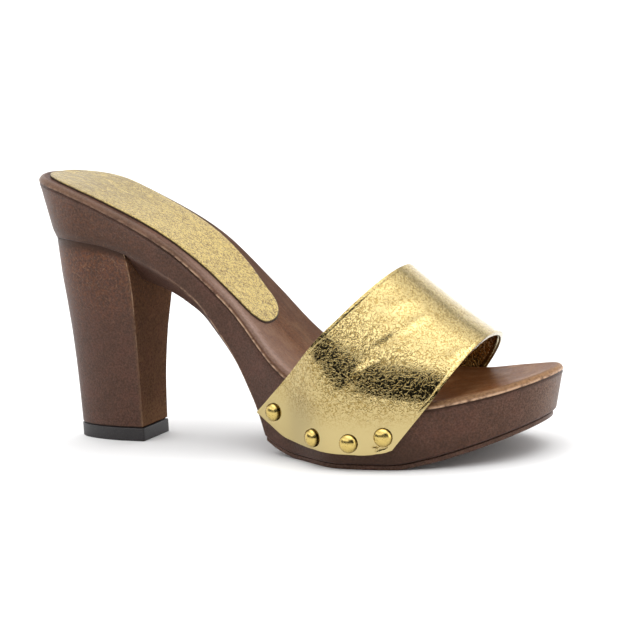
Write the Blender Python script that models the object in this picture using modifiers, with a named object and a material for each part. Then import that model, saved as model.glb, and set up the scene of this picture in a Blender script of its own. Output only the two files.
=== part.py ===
"""Heeled mule for the right foot: moulded platform sole, block heel and one wide strap.

Sizes are in millimetres. x runs forward from the back of the heel, y from the outer side
of the foot (minus) to the inner side (plus), and z up from the floor. place() turns them
into metres around the middle of the shoe.
"""
import math
from bisect import bisect_right
from collections import namedtuple

import bmesh
import bpy
from mathutils import Matrix, Vector

MM = 0.001
NAME = "heeled_mule"

# Driving sizes of the last and the sole
LENGTH = 226.8
HEEL_ROUND = 30.0
TOE_SIDE = 4.0
TOE_FULLNESS = 2.1
OUTER_BALL = 152.0
INNER_BALL = 172.0
MIDDLE_X = 114.0
MIDDLE_Y = -1.8
GAP = 0.3
SMOOTH_ANGLE = 35.0

# Rounded rim of the footbed, and the stations along the sole
RIM_WIDTH = 4.0
RIM_HEIGHT = 2.4
RIM_SHOULDER_IN = 1.1
RIM_SHOULDER_UP = 1.7
STATIONS = 60
STATION_CLEAR = 1.5

# Half widths of the sole between the heel's round and the ball
Plan = namedtuple("Plan", "x outer inner")
PLAN = (
    Plan(30.0, 28.5, 27.0),
    Plan(62.0, 27.0, 26.8),
    Plan(95.0, 23.6, 26.4),
    Plan(124.0, 31.8, 31.5),
    Plan(OUTER_BALL, 45.2, 39.0),
    Plan(INNER_BALL, 45.2, 42.4),
)

# Height of the parting line that runs round the sole under its rounded rim
Profile = namedtuple("Profile", "x height")
PARTING = (
    Profile(0.0, 114.6),
    Profile(20.0, 110.0),
    Profile(45.0, 99.2),
    Profile(70.0, 84.8),
    Profile(95.0, 61.7),
    Profile(120.0, 36.4),
    Profile(150.0, 25.2),
    Profile(180.0, 23.8),
    Profile(205.0, 27.0),
    Profile(228.0, 32.2),
)

# Underside of the tread: flat under the ball, with toe spring
TREAD_REAR = 111.0
FLAT_REAR = 128.0
FLAT_FRONT = 172.0
TREAD = (
    Profile(TREAD_REAR, 5.6),
    Profile(117.0, 2.6),
    Profile(FLAT_REAR, 0.0),
    Profile(FLAT_FRONT, 0.0),
    Profile(186.0, 2.3),
    Profile(200.0, 6.0),
    Profile(213.0, 10.0),
    Profile(228.0, 15.0),
)

# Foot of the side wall from the heel to the tread, and the bevel under it
BREAST_X = 49.5
BREAST_STEP = 0.1
EDGE_IN = 0.6
EDGE_DOWN = 0.5
Waist = namedtuple("Waist", "x foot bevel_in bevel_down")
WAIST = (
    Waist(0.0, 89.4, EDGE_IN, EDGE_DOWN),
    Waist(17.0, 89.0, EDGE_IN, EDGE_DOWN),
    Waist(36.0, 86.4, EDGE_IN, EDGE_DOWN),
    Waist(BREAST_X, 82.2, EDGE_IN, EDGE_DOWN),
    Waist(BREAST_X + BREAST_STEP, 82.16, 12.0, 11.6),
    Waist(66.0, 74.3, 8.6, 9.0),
    Waist(75.0, 68.0, 6.0, 7.2),
    Waist(82.0, 61.6, 3.6, 5.2),
    Waist(88.0, 53.2, 2.2, 3.4),
    Waist(97.0, 39.4, 1.2, 1.6),
    Waist(103.0, 28.0, 0.7, 0.7),
    Waist(108.0, 17.4, EDGE_IN, EDGE_DOWN),
    Waist(TREAD_REAR, 8.4, EDGE_IN, EDGE_DOWN),
)

# How far the side wall leans in from the parting line to its foot
Lean = namedtuple("Lean", "x inset")
LEAN = (
    Lean(0.0, 5.0),
    Lean(17.0, 5.0),
    Lean(50.0, 4.2),
    Lean(82.0, 2.4),
    Lean(110.0, 1.0),
    Lean(170.0, 1.0),
    Lean(200.0, 1.8),
    Lean(LENGTH, 3.4),
)

# Thin sheet under the forefoot
OUTSOLE_THICK = 2.0
OUTSOLE_INSET = 0.8

# Heel block, a row for each height; the top row meets the seat
Block = namedtuple("Block", "height back widest breast half_width roundness")
HEEL = (
    Block(5.7, 9.2, 38.0, 45.4, 10.9, 1.85),
    Block(25.0, 8.7, 37.0, 45.9, 11.7, 1.9),
    Block(45.0, 8.0, 35.0, 47.0, 14.0, 1.95),
    Block(58.0, 7.4, 33.5, 48.2, 16.4, 2.0),
    Block(70.0, 6.7, 32.0, 49.1, 19.0, 2.0),
    Block(84.0, 6.2, 31.0, 49.2, 22.2, 2.0),
)
HEEL_SIDE = -0.9
HEEL_LEVELS = (6.0, 15.0, 25.0, 35.0, 45.0, 52.0, 58.0, 64.0, 70.0, 75.0)
HEEL_ROUND_STEPS = 11
HEEL_FLAT_STEPS = 4
TOP_PIECE_PROUD = 0.25
TOP_PIECE_HIGH = 5.7

# Strap, a row for each line across the foot from its rear edge (0) to its front edge (1)
STRAP_WALL = 2.0
STRAP_GAP = 0.4
STRAP_LINES = 18
STRAP_WALL_STEPS = 4
STRAP_ARCH_STEPS = 20
STRAP_CROWN_Y = -7.0
Line = namedtuple(
    "Line",
    "along outer_foot_x outer_foot_z outer_x outer_fullness outer_sweep crown_x crown_z "
    "inner_foot_x inner_foot_z inner_x inner_fullness inner_sweep",
)
STRAP = (
    Line(0.00, 109.4, 18.2, 125.4, 2.30, 0.93, 167.5, 73.5, 117.0, 17.6, 127.0, 1.70, 0.45),
    Line(0.10, 115.9, 14.2, 131.5, 2.29, 0.93, 171.0, 70.4, 122.2, 13.8, 132.5, 1.71, 0.51),
    Line(0.25, 125.6, 9.2, 140.7, 2.28, 0.92, 176.2, 65.8, 130.2, 9.4, 140.7, 1.74, 0.60),
    Line(0.50, 141.7, 7.4, 155.9, 2.26, 0.91, 184.9, 58.4, 143.4, 7.4, 154.3, 1.77, 0.75),
    Line(0.80, 161.1, 6.7, 174.3, 2.24, 0.89, 195.3, 49.9, 159.2, 6.7, 170.7, 1.82, 0.93),
    Line(0.95, 170.8, 7.8, 183.4, 2.22, 0.88, 200.6, 46.1, 167.0, 7.7, 178.9, 1.84, 1.02),
    Line(1.00, 174.0, 8.9, 186.5, 2.22, 0.88, 202.3, 44.8, 169.6, 8.8, 181.6, 1.85, 1.05),
)

# Heel pad on the footbed
SOCK_THICK = 1.2
SOCK_BACK = 5.0
SOCK_FRONT = 106.0
SOCK_TOE_ROUND = 9.0
SOCK_TOE_FULLNESS = 2.3
SOCK_TOE_SIDE = 6.0
SOCK = (
    Plan(30.0, 23.9, 22.6),
    Plan(45.0, 22.5, 21.8),
    Plan(74.0, 19.4, 19.6),
    Plan(86.0, 16.6, 17.6),
    Plan(SOCK_FRONT - SOCK_TOE_ROUND, 15.6, 13.0),
)
SOCK_STATIONS = 30

# Dome-headed nails along the strap's lower edges
Nail = namedtuple("Nail", "name side x z")
NAILS = (
    Nail("stud_outer_1", -1, 118.8, 19.2),
    Nail("stud_outer_2", -1, 141.1, 12.0),
    Nail("stud_outer_3", -1, 157.0, 11.2),
    Nail("stud_outer_4", -1, 170.8, 13.9),
    Nail("stud_inner_1", 1, 123.0, 18.6),
    Nail("stud_inner_2", 1, 140.0, 12.0),
    Nail("stud_inner_3", 1, 155.0, 11.2),
    Nail("stud_inner_4", 1, 168.0, 13.8),
)
NAIL_RADIUS = 3.7
NAIL_HIGH = 2.5
NAIL_SIDES = 20
NAIL_RINGS = 5
NAIL_CLEAR = 0.5

# Colours in linear RGB
BROWN = (0.105, 0.052, 0.036, 1.0)
HEEL_BROWN = (0.112, 0.056, 0.040, 1.0)
RUBBER = (0.024, 0.021, 0.020, 1.0)
SHEET_BROWN = (0.085, 0.043, 0.030, 1.0)
GOLD = (0.62, 0.46, 0.16, 1.0)
PAD_GOLD = (0.66, 0.50, 0.22, 1.0)
BRASS = (0.58, 0.42, 0.12, 1.0)


def place(x, y, z):
    """A point of the shoe, in metres around its middle."""
    return Vector(((x - MIDDLE_X) * MM, (y - MIDDLE_Y) * MM, z * MM))


def curve(rows, column, key="x"):
    """Smooth curve through one column of a table, with no overshoot between its rows."""
    xs = [getattr(row, key) for row in rows]
    ys = [getattr(row, column) for row in rows]
    count = len(xs)
    steps = [xs[i + 1] - xs[i] for i in range(count - 1)]
    rises = [(ys[i + 1] - ys[i]) / steps[i] for i in range(count - 1)]
    slopes = [rises[0]]
    for i in range(1, count - 1):
        before, after = rises[i - 1], rises[i]
        if before * after <= 0.0:
            slopes.append(0.0)
        else:
            first = 2.0 * steps[i] + steps[i - 1]
            second = steps[i] + 2.0 * steps[i - 1]
            slopes.append((first + second) / (first / before + second / after))
    slopes.append(rises[-1])

    def value(x):
        i = min(max(bisect_right(xs, x) - 1, 0), count - 2)
        t = min(max((x - xs[i]) / steps[i], 0.0), 1.0)
        low = (1.0 + 2.0 * t) * (1.0 - t) ** 2 * ys[i] + t * t * (3.0 - 2.0 * t) * ys[i + 1]
        lean = t * (1.0 - t) ** 2 * slopes[i] - t * t * (1.0 - t) * slopes[i + 1]
        return low + lean * steps[i]

    return value


def quarter(part, fullness):
    """Height of a rounded quarter, from 1 at its start to 0 at its end."""
    part = min(max(part, 0.0), 1.0)
    return (1.0 - part ** fullness) ** (1.0 / fullness)


parting = curve(PARTING, "height")
tread = curve(TREAD, "height")
waist_foot = curve(WAIST, "foot")
wall_lean = curve(LEAN, "inset")
bevel_in = curve(WAIST, "bevel_in")
bevel_down = curve(WAIST, "bevel_down")
outer_middle = curve(PLAN, "outer")
inner_middle = curve(PLAN, "inner")
sock_outer = curve(SOCK, "outer")
sock_inner = curve(SOCK, "inner")


def outer_width(x):
    """Half width of the sole on the outer side of the foot."""
    if x < HEEL_ROUND:
        return PLAN[0].outer * quarter(1.0 - x / HEEL_ROUND, 2.0)
    if x > OUTER_BALL:
        part = (x - OUTER_BALL) / (LENGTH - OUTER_BALL)
        return (outer_middle(OUTER_BALL) + TOE_SIDE) * quarter(part, TOE_FULLNESS) - TOE_SIDE
    return outer_middle(x)


def inner_width(x):
    """Half width of the sole on the inner side of the foot."""
    if x < HEEL_ROUND:
        return PLAN[0].inner * quarter(1.0 - x / HEEL_ROUND, 2.0)
    if x > INNER_BALL:
        part = (x - INNER_BALL) / (LENGTH - INNER_BALL)
        return (inner_middle(INNER_BALL) - TOE_SIDE) * quarter(part, TOE_FULLNESS) + TOE_SIDE
    return inner_middle(x)


def footbed(x):
    """Height of the footbed inside the rim."""
    return parting(x) + RIM_HEIGHT


def wall_foot(x):
    """Height of the side wall's foot, which follows the tread along the forefoot."""
    if x > TREAD_REAR:
        return tread(x) + OUTSOLE_THICK + GAP + EDGE_DOWN
    return waist_foot(x)


def under(x):
    """Height of the sole's underside."""
    return wall_foot(x) - bevel_down(x)


def stations(first, last, count):
    """Places along the shoe, closer together towards both ends."""
    middle, half = (first + last) / 2.0, (last - first) / 2.0
    return [middle - half * math.cos(math.pi * i / count) for i in range(count + 1)]


def sole_stations():
    """Stations of the sole, with one at each corner of its underside."""
    fixed = [BREAST_X, BREAST_X + BREAST_STEP, TREAD_REAR, FLAT_REAR, FLAT_FRONT]
    places = stations(0.0, LENGTH, STATIONS)
    free = [x for x in places if min(abs(x - corner) for corner in fixed) > STATION_CLEAR]
    return sorted(free + fixed)


def outline(places, outer, inner):
    """Ring of plan points: forward along the outer side and back along the inner side."""
    forward = [(x, -outer(x)) for x in places]
    backward = [(x, inner(x)) for x in reversed(places[1:-1])]
    return [Vector(point) for point in forward + backward]


def inset(ring, depth):
    """The ring moved inwards by depth(x): straight across between heel round and ball."""
    moved = []
    for i, point in enumerate(ring):
        along = ring[(i + 1) % len(ring)] - ring[i - 1]
        inward = Vector((-along.y, along.x)).normalized()
        if HEEL_ROUND < point.x < OUTER_BALL:
            inward = Vector((0.0, math.copysign(1.0, inward.y)))
        moved.append(point + inward * depth(point.x))
    return moved


def lift(ring, height):
    """Points of a plan ring at the height that a profile gives."""
    return [place(point.x, point.y, height(point.x)) for point in ring]


def new_object(name, mesh, colour, roughness, metallic=0.0):
    """Object in the shoe's collection, with its own material."""
    material = bpy.data.materials.new(name)
    material.use_nodes = True
    shader = material.node_tree.nodes["Principled BSDF"]
    shader.inputs["Base Color"].default_value = colour
    shader.inputs["Roughness"].default_value = roughness
    shader.inputs["Metallic"].default_value = metallic
    material.diffuse_color = colour
    mesh.materials.append(material)
    made = bpy.data.objects.new(name, mesh)
    bpy.data.collections[NAME].objects.link(made)
    return made


def to_mesh(name, form):
    """Mesh of a finished form, with its faces pointing out."""
    bmesh.ops.recalc_face_normals(form, faces=form.faces)
    mesh = bpy.data.meshes.new(name)
    form.to_mesh(mesh)
    form.free()
    mesh.shade_smooth()
    mesh.set_sharp_from_angle(angle=math.radians(SMOOTH_ANGLE))
    return mesh


def strip(form, ring, ends_meet):
    """Close a ring with a strip of faces from one side of the shoe to the other."""
    count = len(ring)
    shift = 0 if ends_meet else 1
    for i in range((count - shift) // 2):
        corners = (ring[i], ring[i + 1], ring[-i - 1 - shift], ring[-i - shift])
        face = list(dict.fromkeys(corners))
        if len(face) > 2:
            form.faces.new(face)


def loft(name, rings, ends_meet=True):
    """Closed form through rings of equal count, closed by a strip at both ends."""
    form = bmesh.new()
    loops = [[form.verts.new(point) for point in ring] for ring in rings]
    for low, high in zip(loops, loops[1:]):
        for i in range(len(low)):
            form.faces.new((low[i - 1], low[i], high[i], high[i - 1]))
    strip(form, loops[0], ends_meet)
    strip(form, loops[-1], ends_meet)
    return to_mesh(name, form)


def make_sole():
    """Footbed, rounded rim, side wall, bevelled waist and platform, moulded in one."""
    edge = outline(sole_stations(), outer_width, inner_width)
    rings = [
        lift(inset(edge, lambda x: RIM_WIDTH), footbed),
        lift(inset(edge, lambda x: RIM_SHOULDER_IN), lambda x: parting(x) + RIM_SHOULDER_UP),
        lift(edge, parting),
        lift(inset(edge, wall_lean), wall_foot),
        lift(inset(edge, lambda x: wall_lean(x) + bevel_in(x)), under),
    ]
    return new_object("sole", loft("sole", rings), BROWN, 0.42)


def heel_plan(height, proud=0.0):
    """D-shaped plan of the heel block at one height: round back, flat breast."""
    back = curve(HEEL, "back", "height")(height) - proud
    widest = curve(HEEL, "widest", "height")(height)
    breast = curve(HEEL, "breast", "height")(height) + proud
    half = curve(HEEL, "half_width", "height")(height) + proud
    power = 2.0 / curve(HEEL, "roundness", "height")(height)
    side = []
    for i in range(HEEL_FLAT_STEPS):
        side.append((breast + (widest - breast) * i / HEEL_FLAT_STEPS, half))
    for i in range(HEEL_ROUND_STEPS):
        angle = math.pi / 2.0 * (1.0 - i / HEEL_ROUND_STEPS)
        reach = (widest - back) * math.cos(angle) ** power
        side.append((widest - reach, half * math.sin(angle) ** power))
    outer = [Vector((x, HEEL_SIDE - y)) for x, y in side]
    inner = [Vector((x, HEEL_SIDE + y)) for x, y in reversed(side)]
    return outer + [Vector((back, HEEL_SIDE))] + inner


def make_heel():
    """Heel block, flared towards the seat and set back under its ledge."""
    rings = [lift(heel_plan(z), lambda x, z=z: z) for z in HEEL_LEVELS]
    rings.append(lift(heel_plan(HEEL[-1].height), lambda x: under(min(x, BREAST_X)) - GAP))
    return new_object("heel", loft("heel", rings, ends_meet=False), HEEL_BROWN, 0.42)


def make_top_piece():
    """Rubber tip under the heel, a little proud of it."""
    plan = heel_plan(HEEL[0].height, TOP_PIECE_PROUD)
    rings = [lift(plan, lambda x: 0.0), lift(plan, lambda x: TOP_PIECE_HIGH)]
    return new_object("top_piece", loft("top_piece", rings, ends_meet=False), RUBBER, 0.6)


def make_outsole():
    """Thin sheet under the forefoot, set in from the platform's edge."""
    places = [x for x in sole_stations() if x >= TREAD_REAR]
    forward = [Vector((x, -outer_width(x))) for x in places]
    backward = [Vector((x, inner_width(x))) for x in reversed(places[:-1])]
    edge = inset(forward + backward, lambda x: wall_lean(x) + EDGE_IN + OUTSOLE_INSET)
    edge[0].x = TREAD_REAR
    edge[-1].x = TREAD_REAR
    rings = [lift(edge, tread), lift(edge, lambda x: tread(x) + OUTSOLE_THICK)]
    return new_object("outsole", loft("outsole", rings, ends_meet=False), SHEET_BROWN, 0.5)


def make_sock():
    """Leather heel pad, round at the heel and at its front end."""

    def rounded(width, tip):
        def value(x):
            if x < HEEL_ROUND:
                part = (HEEL_ROUND - x) / (HEEL_ROUND - SOCK_BACK)
                return width(HEEL_ROUND) * quarter(part, 2.0)
            start = SOCK_FRONT - SOCK_TOE_ROUND
            part = (x - start) / SOCK_TOE_ROUND
            return (width(x) - tip) * quarter(part, SOCK_TOE_FULLNESS) + tip
        return value

    places = stations(SOCK_BACK, SOCK_FRONT, SOCK_STATIONS)
    outer = rounded(sock_outer, SOCK_TOE_SIDE)
    inner = rounded(sock_inner, -SOCK_TOE_SIDE)
    edge = outline(places, outer, inner)
    low = lift(edge, lambda x: footbed(x) + GAP)
    high = lift(edge, lambda x: footbed(x) + GAP + SOCK_THICK)
    return new_object("sock", loft("sock", [low, high]), PAD_GOLD, 0.4, 0.6)


def wall_side(x, z, side):
    """Half width of the sole's side wall at one height, on either side of the foot."""
    width = outer_width(x) if side < 0 else inner_width(x)
    top, foot = parting(x), wall_foot(x)
    down = min(max((top - z) / (top - foot), 0.0), 1.0)
    return width - wall_lean(x) * down


def strap_half(row, side):
    """One half of a line across the strap, from its lower edge up to the crown."""
    name = "outer" if side < 0 else "inner"
    foot_x, foot_z, leave_x = row[name + "_foot_x"], row[name + "_foot_z"], row[name + "_x"]
    leave_z = parting(leave_x)
    points = []
    for i in range(STRAP_WALL_STEPS):
        t = i / STRAP_WALL_STEPS
        x = foot_x + (leave_x - foot_x) * t
        z = foot_z + (leave_z - foot_z) * t
        points.append((x, side * (wall_side(x, z, side) + STRAP_GAP), z))
    half = STRAP_ARCH_STEPS // 2
    power = 2.0 / row[name + "_fullness"]
    for i in range(half):
        angle = math.pi / 2.0 * i / half
        rise = math.sin(angle) ** power
        x = leave_x + (row["crown_x"] - leave_x) * rise ** row[name + "_sweep"]
        z = leave_z + (row["crown_z"] - leave_z) * rise
        reach = side * (wall_side(x, parting(x), side) + STRAP_GAP) - STRAP_CROWN_Y
        points.append((x, STRAP_CROWN_Y + reach * math.cos(angle) ** power, z))
    return points


def make_upper():
    """Hollow strap: it lies on both side walls and arches over the foot between them."""
    columns = {name: curve(STRAP, name, "along") for name in Line._fields[1:]}
    form = bmesh.new()
    lines = []
    for i in range(STRAP_LINES + 1):
        row = {name: value(i / STRAP_LINES) for name, value in columns.items()}
        crown = (row["crown_x"], STRAP_CROWN_Y, row["crown_z"])
        points = strap_half(row, -1) + [crown] + strap_half(row, 1)[::-1]
        lines.append([form.verts.new(place(*point)) for point in points])
    for rear, front in zip(lines, lines[1:]):
        for j in range(len(rear) - 1):
            form.faces.new((rear[j], front[j], front[j + 1], rear[j + 1]))
    mesh = bpy.data.meshes.new("upper")
    form.to_mesh(mesh)
    form.free()
    mesh.shade_smooth()
    upper = new_object("upper", mesh, GOLD, 0.3, 0.8)
    shell = upper.modifiers.new("leather", "SOLIDIFY")
    shell.thickness = STRAP_WALL * MM
    shell.offset = 1.0
    shell.use_even_offset = True
    return upper


def make_nail(nail):
    """Dome head on the strap's lower edge, square to the side wall."""
    step = 1.0
    ahead = wall_side(nail.x + step, nail.z, nail.side)
    behind = wall_side(nail.x - step, nail.z, nail.side)
    outward = Vector((-(ahead - behind) / (2.0 * step), nail.side, 0.0)).normalized()
    proud = STRAP_GAP + STRAP_WALL + NAIL_CLEAR
    seat = Vector((nail.x, nail.side * wall_side(nail.x, nail.z, nail.side), nail.z)) + outward * proud
    form = bmesh.new()
    bmesh.ops.create_uvsphere(
        form, u_segments=NAIL_SIDES, v_segments=NAIL_RINGS * 2, radius=NAIL_RADIUS * MM
    )
    plane = {"plane_co": (0.0, 0.0, 0.0), "plane_no": (0.0, 0.0, -1.0)}
    geometry = form.verts[:] + form.edges[:] + form.faces[:]
    cut = bmesh.ops.bisect_plane(form, geom=geometry, clear_outer=True, dist=1e-7, **plane)
    rim = [item for item in cut["geom_cut"] if isinstance(item, bmesh.types.BMEdge)]
    bmesh.ops.holes_fill(form, edges=rim, sides=0)
    bmesh.ops.scale(form, vec=(1.0, 1.0, NAIL_HIGH / NAIL_RADIUS), verts=form.verts)
    turn = outward.to_track_quat("Z", "Y").to_matrix().to_4x4()
    bmesh.ops.transform(form, matrix=Matrix.Translation(place(*seat)) @ turn, verts=form.verts)
    return new_object(nail.name, to_mesh(nail.name, form), BRASS, 0.25, 1.0)


def main():
    for old in list(bpy.data.objects):
        bpy.data.objects.remove(old, do_unlink=True)
    collection = bpy.data.collections.new(NAME)
    bpy.context.scene.collection.children.link(collection)
    make_sole()
    make_heel()
    make_top_piece()
    make_outsole()
    make_upper()
    make_sock()
    for nail in NAILS:
        make_nail(nail)


main()
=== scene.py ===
"""Looks of a heeled mule for the right foot: moulded sole and heel, one wide gold strap.

Tables and functions are in millimetres. x runs forward from the back of the heel, y from the
outer side of the foot (minus) to the inner side (plus), and z up from the floor. place() turns
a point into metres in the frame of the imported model.
"""
import math
from bisect import bisect_right
from collections import namedtuple

import bmesh
import bpy
from bpy.props import FloatProperty, FloatVectorProperty, PointerProperty
from mathutils import Matrix, Vector, noise


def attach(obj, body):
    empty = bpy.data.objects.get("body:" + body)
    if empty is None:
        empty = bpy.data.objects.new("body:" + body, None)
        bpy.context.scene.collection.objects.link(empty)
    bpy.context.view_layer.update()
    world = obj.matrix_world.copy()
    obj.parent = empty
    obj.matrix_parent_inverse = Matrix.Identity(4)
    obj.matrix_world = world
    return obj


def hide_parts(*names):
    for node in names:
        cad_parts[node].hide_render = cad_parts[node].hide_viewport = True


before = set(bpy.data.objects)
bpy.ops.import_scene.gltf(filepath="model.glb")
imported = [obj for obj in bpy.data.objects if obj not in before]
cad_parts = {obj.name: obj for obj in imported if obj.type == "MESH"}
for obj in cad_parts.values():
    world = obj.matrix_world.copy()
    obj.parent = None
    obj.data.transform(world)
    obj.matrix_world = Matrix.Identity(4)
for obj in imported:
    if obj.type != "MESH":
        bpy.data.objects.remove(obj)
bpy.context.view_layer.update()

bl_info = {
    "name": "Heeled mule",
    "version": (1, 0, 0),
    "blender": (4, 5, 0),
    "location": "View3D > Sidebar > Mule",
    "description": "Models the pieces of a heeled mule and sets a studio round it",
    "category": "Add Mesh",
}

MM = 0.001
BODY = "root"


def table(fields, *rows):
    """Rows of a table, with a name for each of its columns."""
    kind = namedtuple("Row", fields)
    return [kind(*row) for row in rows]


# Plan of the sole
LENGTH = 226.8
HEEL_ROUND = 30.0
TOE_SIDE = 4.0
TOE_FULLNESS = 2.1
OUTER_BALL = 152.0
INNER_BALL = 172.0
MIDDLE_X = 114.0
MIDDLE_Y = -1.8
PLAN = table(
    "x outer inner",
    (30.0, 28.5, 27.0),
    (62.0, 27.0, 26.8),
    (95.0, 23.6, 26.4),
    (124.0, 31.8, 31.5),
    (OUTER_BALL, 45.2, 39.0),
    (INNER_BALL, 45.2, 42.4),
)
SOLE_STATIONS = 190
STATION_CLEAR = 0.45

# Heights along the sole: the parting line under the rim, and the underside of the tread
PARTING = table(
    "x height",
    (0.0, 114.6), (20.0, 110.0), (45.0, 99.2), (70.0, 84.8), (95.0, 61.7), (118.0, 37.4),
    (128.0, 31.2), (150.0, 25.2), (180.0, 23.8), (205.0, 27.0), (228.0, 32.2),
)
TREAD_REAR = 111.0
FLAT_REAR = 128.0
FLAT_FRONT = 172.0
TREAD = table(
    "x height",
    (TREAD_REAR, 5.6), (117.0, 2.6), (FLAT_REAR, 0.0), (FLAT_FRONT, 0.0), (186.0, 2.3),
    (200.0, 6.0), (213.0, 10.0), (228.0, 15.0),
)

# Foot of the side wall behind the tread, the bevel under it and how far the wall leans in
BREAST_X = 49.5
BREAST_STEP = 0.1
EDGE_IN = 0.6
EDGE_DOWN = 0.5
WAIST = table(
    "x foot bevel_in bevel_down",
    (0.0, 89.4, EDGE_IN, EDGE_DOWN),
    (17.0, 89.0, EDGE_IN, EDGE_DOWN),
    (36.0, 86.4, EDGE_IN, EDGE_DOWN),
    (BREAST_X, 82.2, EDGE_IN, EDGE_DOWN),
    (BREAST_X + BREAST_STEP, 82.16, 12.0, 11.6),
    (66.0, 74.3, 8.6, 9.0),
    (75.0, 68.0, 6.0, 7.2),
    (82.0, 61.6, 3.6, 5.2),
    (88.0, 53.2, 2.2, 3.4),
    (97.0, 39.4, 1.2, 1.6),
    (103.0, 28.0, 0.7, 0.7),
    (108.0, 17.4, EDGE_IN, EDGE_DOWN),
    (TREAD_REAR, 8.4, EDGE_IN, EDGE_DOWN),
)
LEAN = table(
    "x inset",
    (0.0, 5.0), (17.0, 5.0), (50.0, 4.2), (82.0, 2.4), (110.0, 1.0), (170.0, 1.0), (200.0, 1.8),
    (228.0, 3.4),
)

# Section of the rim from the footbed to the groove under the parting line, with how much of
# each finish it shows, of the painted sheen on the footbed's light border and of the painted
# shade in the groove
RIM = table(
    "inset up proud flash rim margin bed groove",
    (9.0, 2.00, 0.0, 0.0, 0.0, 0.35, 1.0, 0.0),
    (7.0, 2.02, 0.0, 0.0, 0.0, 0.55, 1.0, 0.0),
    (6.0, 2.07, 0.0, 0.0, 0.0, 0.65, 1.0, 0.0),
    (5.0, 2.16, 0.0, 0.0, 0.0, 0.75, 1.0, 0.0),
    (4.0, 2.27, 0.0, 0.0, 0.0, 0.75, 1.0, 0.0),
    (3.2, 2.34, 0.0, 0.0, 0.1, 0.65, 0.9, 0.0),
    (2.4, 2.33, 0.0, 0.0, 0.3, 0.5, 0.7, 0.0),
    (1.7, 2.16, 0.0, 0.0, 0.7, 0.4, 0.3, 0.0),
    (1.1, 1.82, 0.0, 0.0, 1.0, 0.3, 0.1, 0.0),
    (0.6, 1.32, 0.0, 0.0, 1.0, 0.0, 0.1, 0.0),
    (0.3, 0.80, 0.0, 0.2, 1.0, 0.0, 0.1, 0.0),
    (0.12, 0.38, 0.0, 0.9, 0.6, 0.0, 0.0, 0.0),
    (0.0, 0.14, 1.0, 1.0, 0.5, 0.0, 0.0, 0.0),
    (0.0, -0.10, 1.0, 0.8, 0.2, 0.0, 0.0, 0.2),
    (0.25, -0.30, 0.0, 0.0, 0.0, 0.0, 0.0, 0.8),
    (0.38, -0.60, 0.0, 0.0, 0.0, 0.0, 0.0, 0.9),
    (0.24, -0.95, 0.0, 0.0, 0.0, 0.0, 0.0, 0.4),
    (0.10, -1.35, 0.0, 0.0, 0.0, 0.0, 0.0, 0.0),
)
BED_ROWS = (0.0, 0.2, 0.4, 0.6, 0.8)
WALL_ROWS = (0.14, 0.26, 0.4, 0.56, 0.7, 0.8, 0.88, 0.94, 0.98, 1.0)
BEVEL_ROWS = (0.3, 0.65, 1.0)
UNDER_ROWS = (0.66, 0.33, 0.0)
SEAT_ROUND = 0.5
SEAT_ROUND_END = (44.0, 70.0)
CURL = (0.8, 1.0)
FLASH_LENGTH = 3.4
BED_LEAST = 0.05

# Where finishes of the sole, its painted sheen and its painted shade begin and are full, and
# their shares
# Painted sheen on the footbed's light border, fainter on the inner side, and painted shade on the
# inner side of the footbed
BED_PAINTED_SHEEN = 0.35
INNER_PAINTED_SHEEN = 0.15
INNER_SHADE = 0.45
SHADE_END = (118.0, 150.0)
# Painted shade in the groove under the rim, fainter at the seat
SEAT_GROOVE = 0.35
GROOVE_RISE = (30.0, 80.0)
RIM_WEAR = 0.6
# Painted shade towards the foot of the wall
SHADE_FOOT = (0.45, 1.0)
# Painted highlight along the lower edge of the wall at the waist
HIGHLIGHT_FOOT = (0.955, 1.0)
FOOTBED_SHEEN = 0.04

# How much of each finish shows along the sole: bare flash, pale rim, painted sheen on the
# light border of the footbed, warm footbed, worn spots, warm scuffs and, at the foot of the
# wall, painted shade and a painted highlight on its lower edge
FINISH = table(
    "x flash rim margin bed wear warm dark edge",
    (0.0, 0.3, 0.3, 0.0, 0.1, 0.1, 0.5, 0.5, 0.0),
    (50.0, 0.2, 0.15, 0.0, 0.1, 0.0, 0.35, 0.5, 0.0),
    (70.0, 0.35, 0.15, 0.15, 0.2, 0.0, 0.2, 0.2, 0.2),
    (85.0, 0.8, 0.1, 0.4, 0.35, 0.0, 0.1, 0.1, 0.8),
    (104.0, 0.9, 0.1, 0.7, 0.6, 0.0, 0.1, 0.1, 0.7),
    (112.0, 0.9, 0.1, 0.7, 0.7, 0.0, 0.1, 0.2, 0.0),
    (130.0, 0.9, 0.2, 0.4, 0.9, 0.0, 0.1, 0.4, 0.0),
    (170.0, 1.0, 0.5, 0.0, 1.0, 0.0, 0.1, 0.7, 0.0),
    (195.0, 1.0, 0.6, 0.0, 1.0, 0.0, 0.2, 0.3, 0.0),
    (211.0, 1.0, 0.7, 0.0, 1.0, 0.05, 0.2, 0.1, 0.0),
    (220.0, 1.0, 0.8, 0.0, 1.0, 0.1, 0.1, 0.1, 0.0),
    (LENGTH, 1.0, 0.8, 0.0, 1.0, 0.35, 0.1, 0.1, 0.0),
)
BARE = dict.fromkeys(("flash", "rim", "margin", "bed", "wear", "warm", "dark"), 0.0)

# Thin sheet under the forefoot
OUTSOLE_THICK = 2.0
OUTSOLE_INSET = 0.8
OUTSOLE_ROUND = 0.35
OUTSOLE_MIDWAY = 0.3
OUTSOLE_WEAR = 0.1
SOLE_JOINT = 0.3

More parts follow.
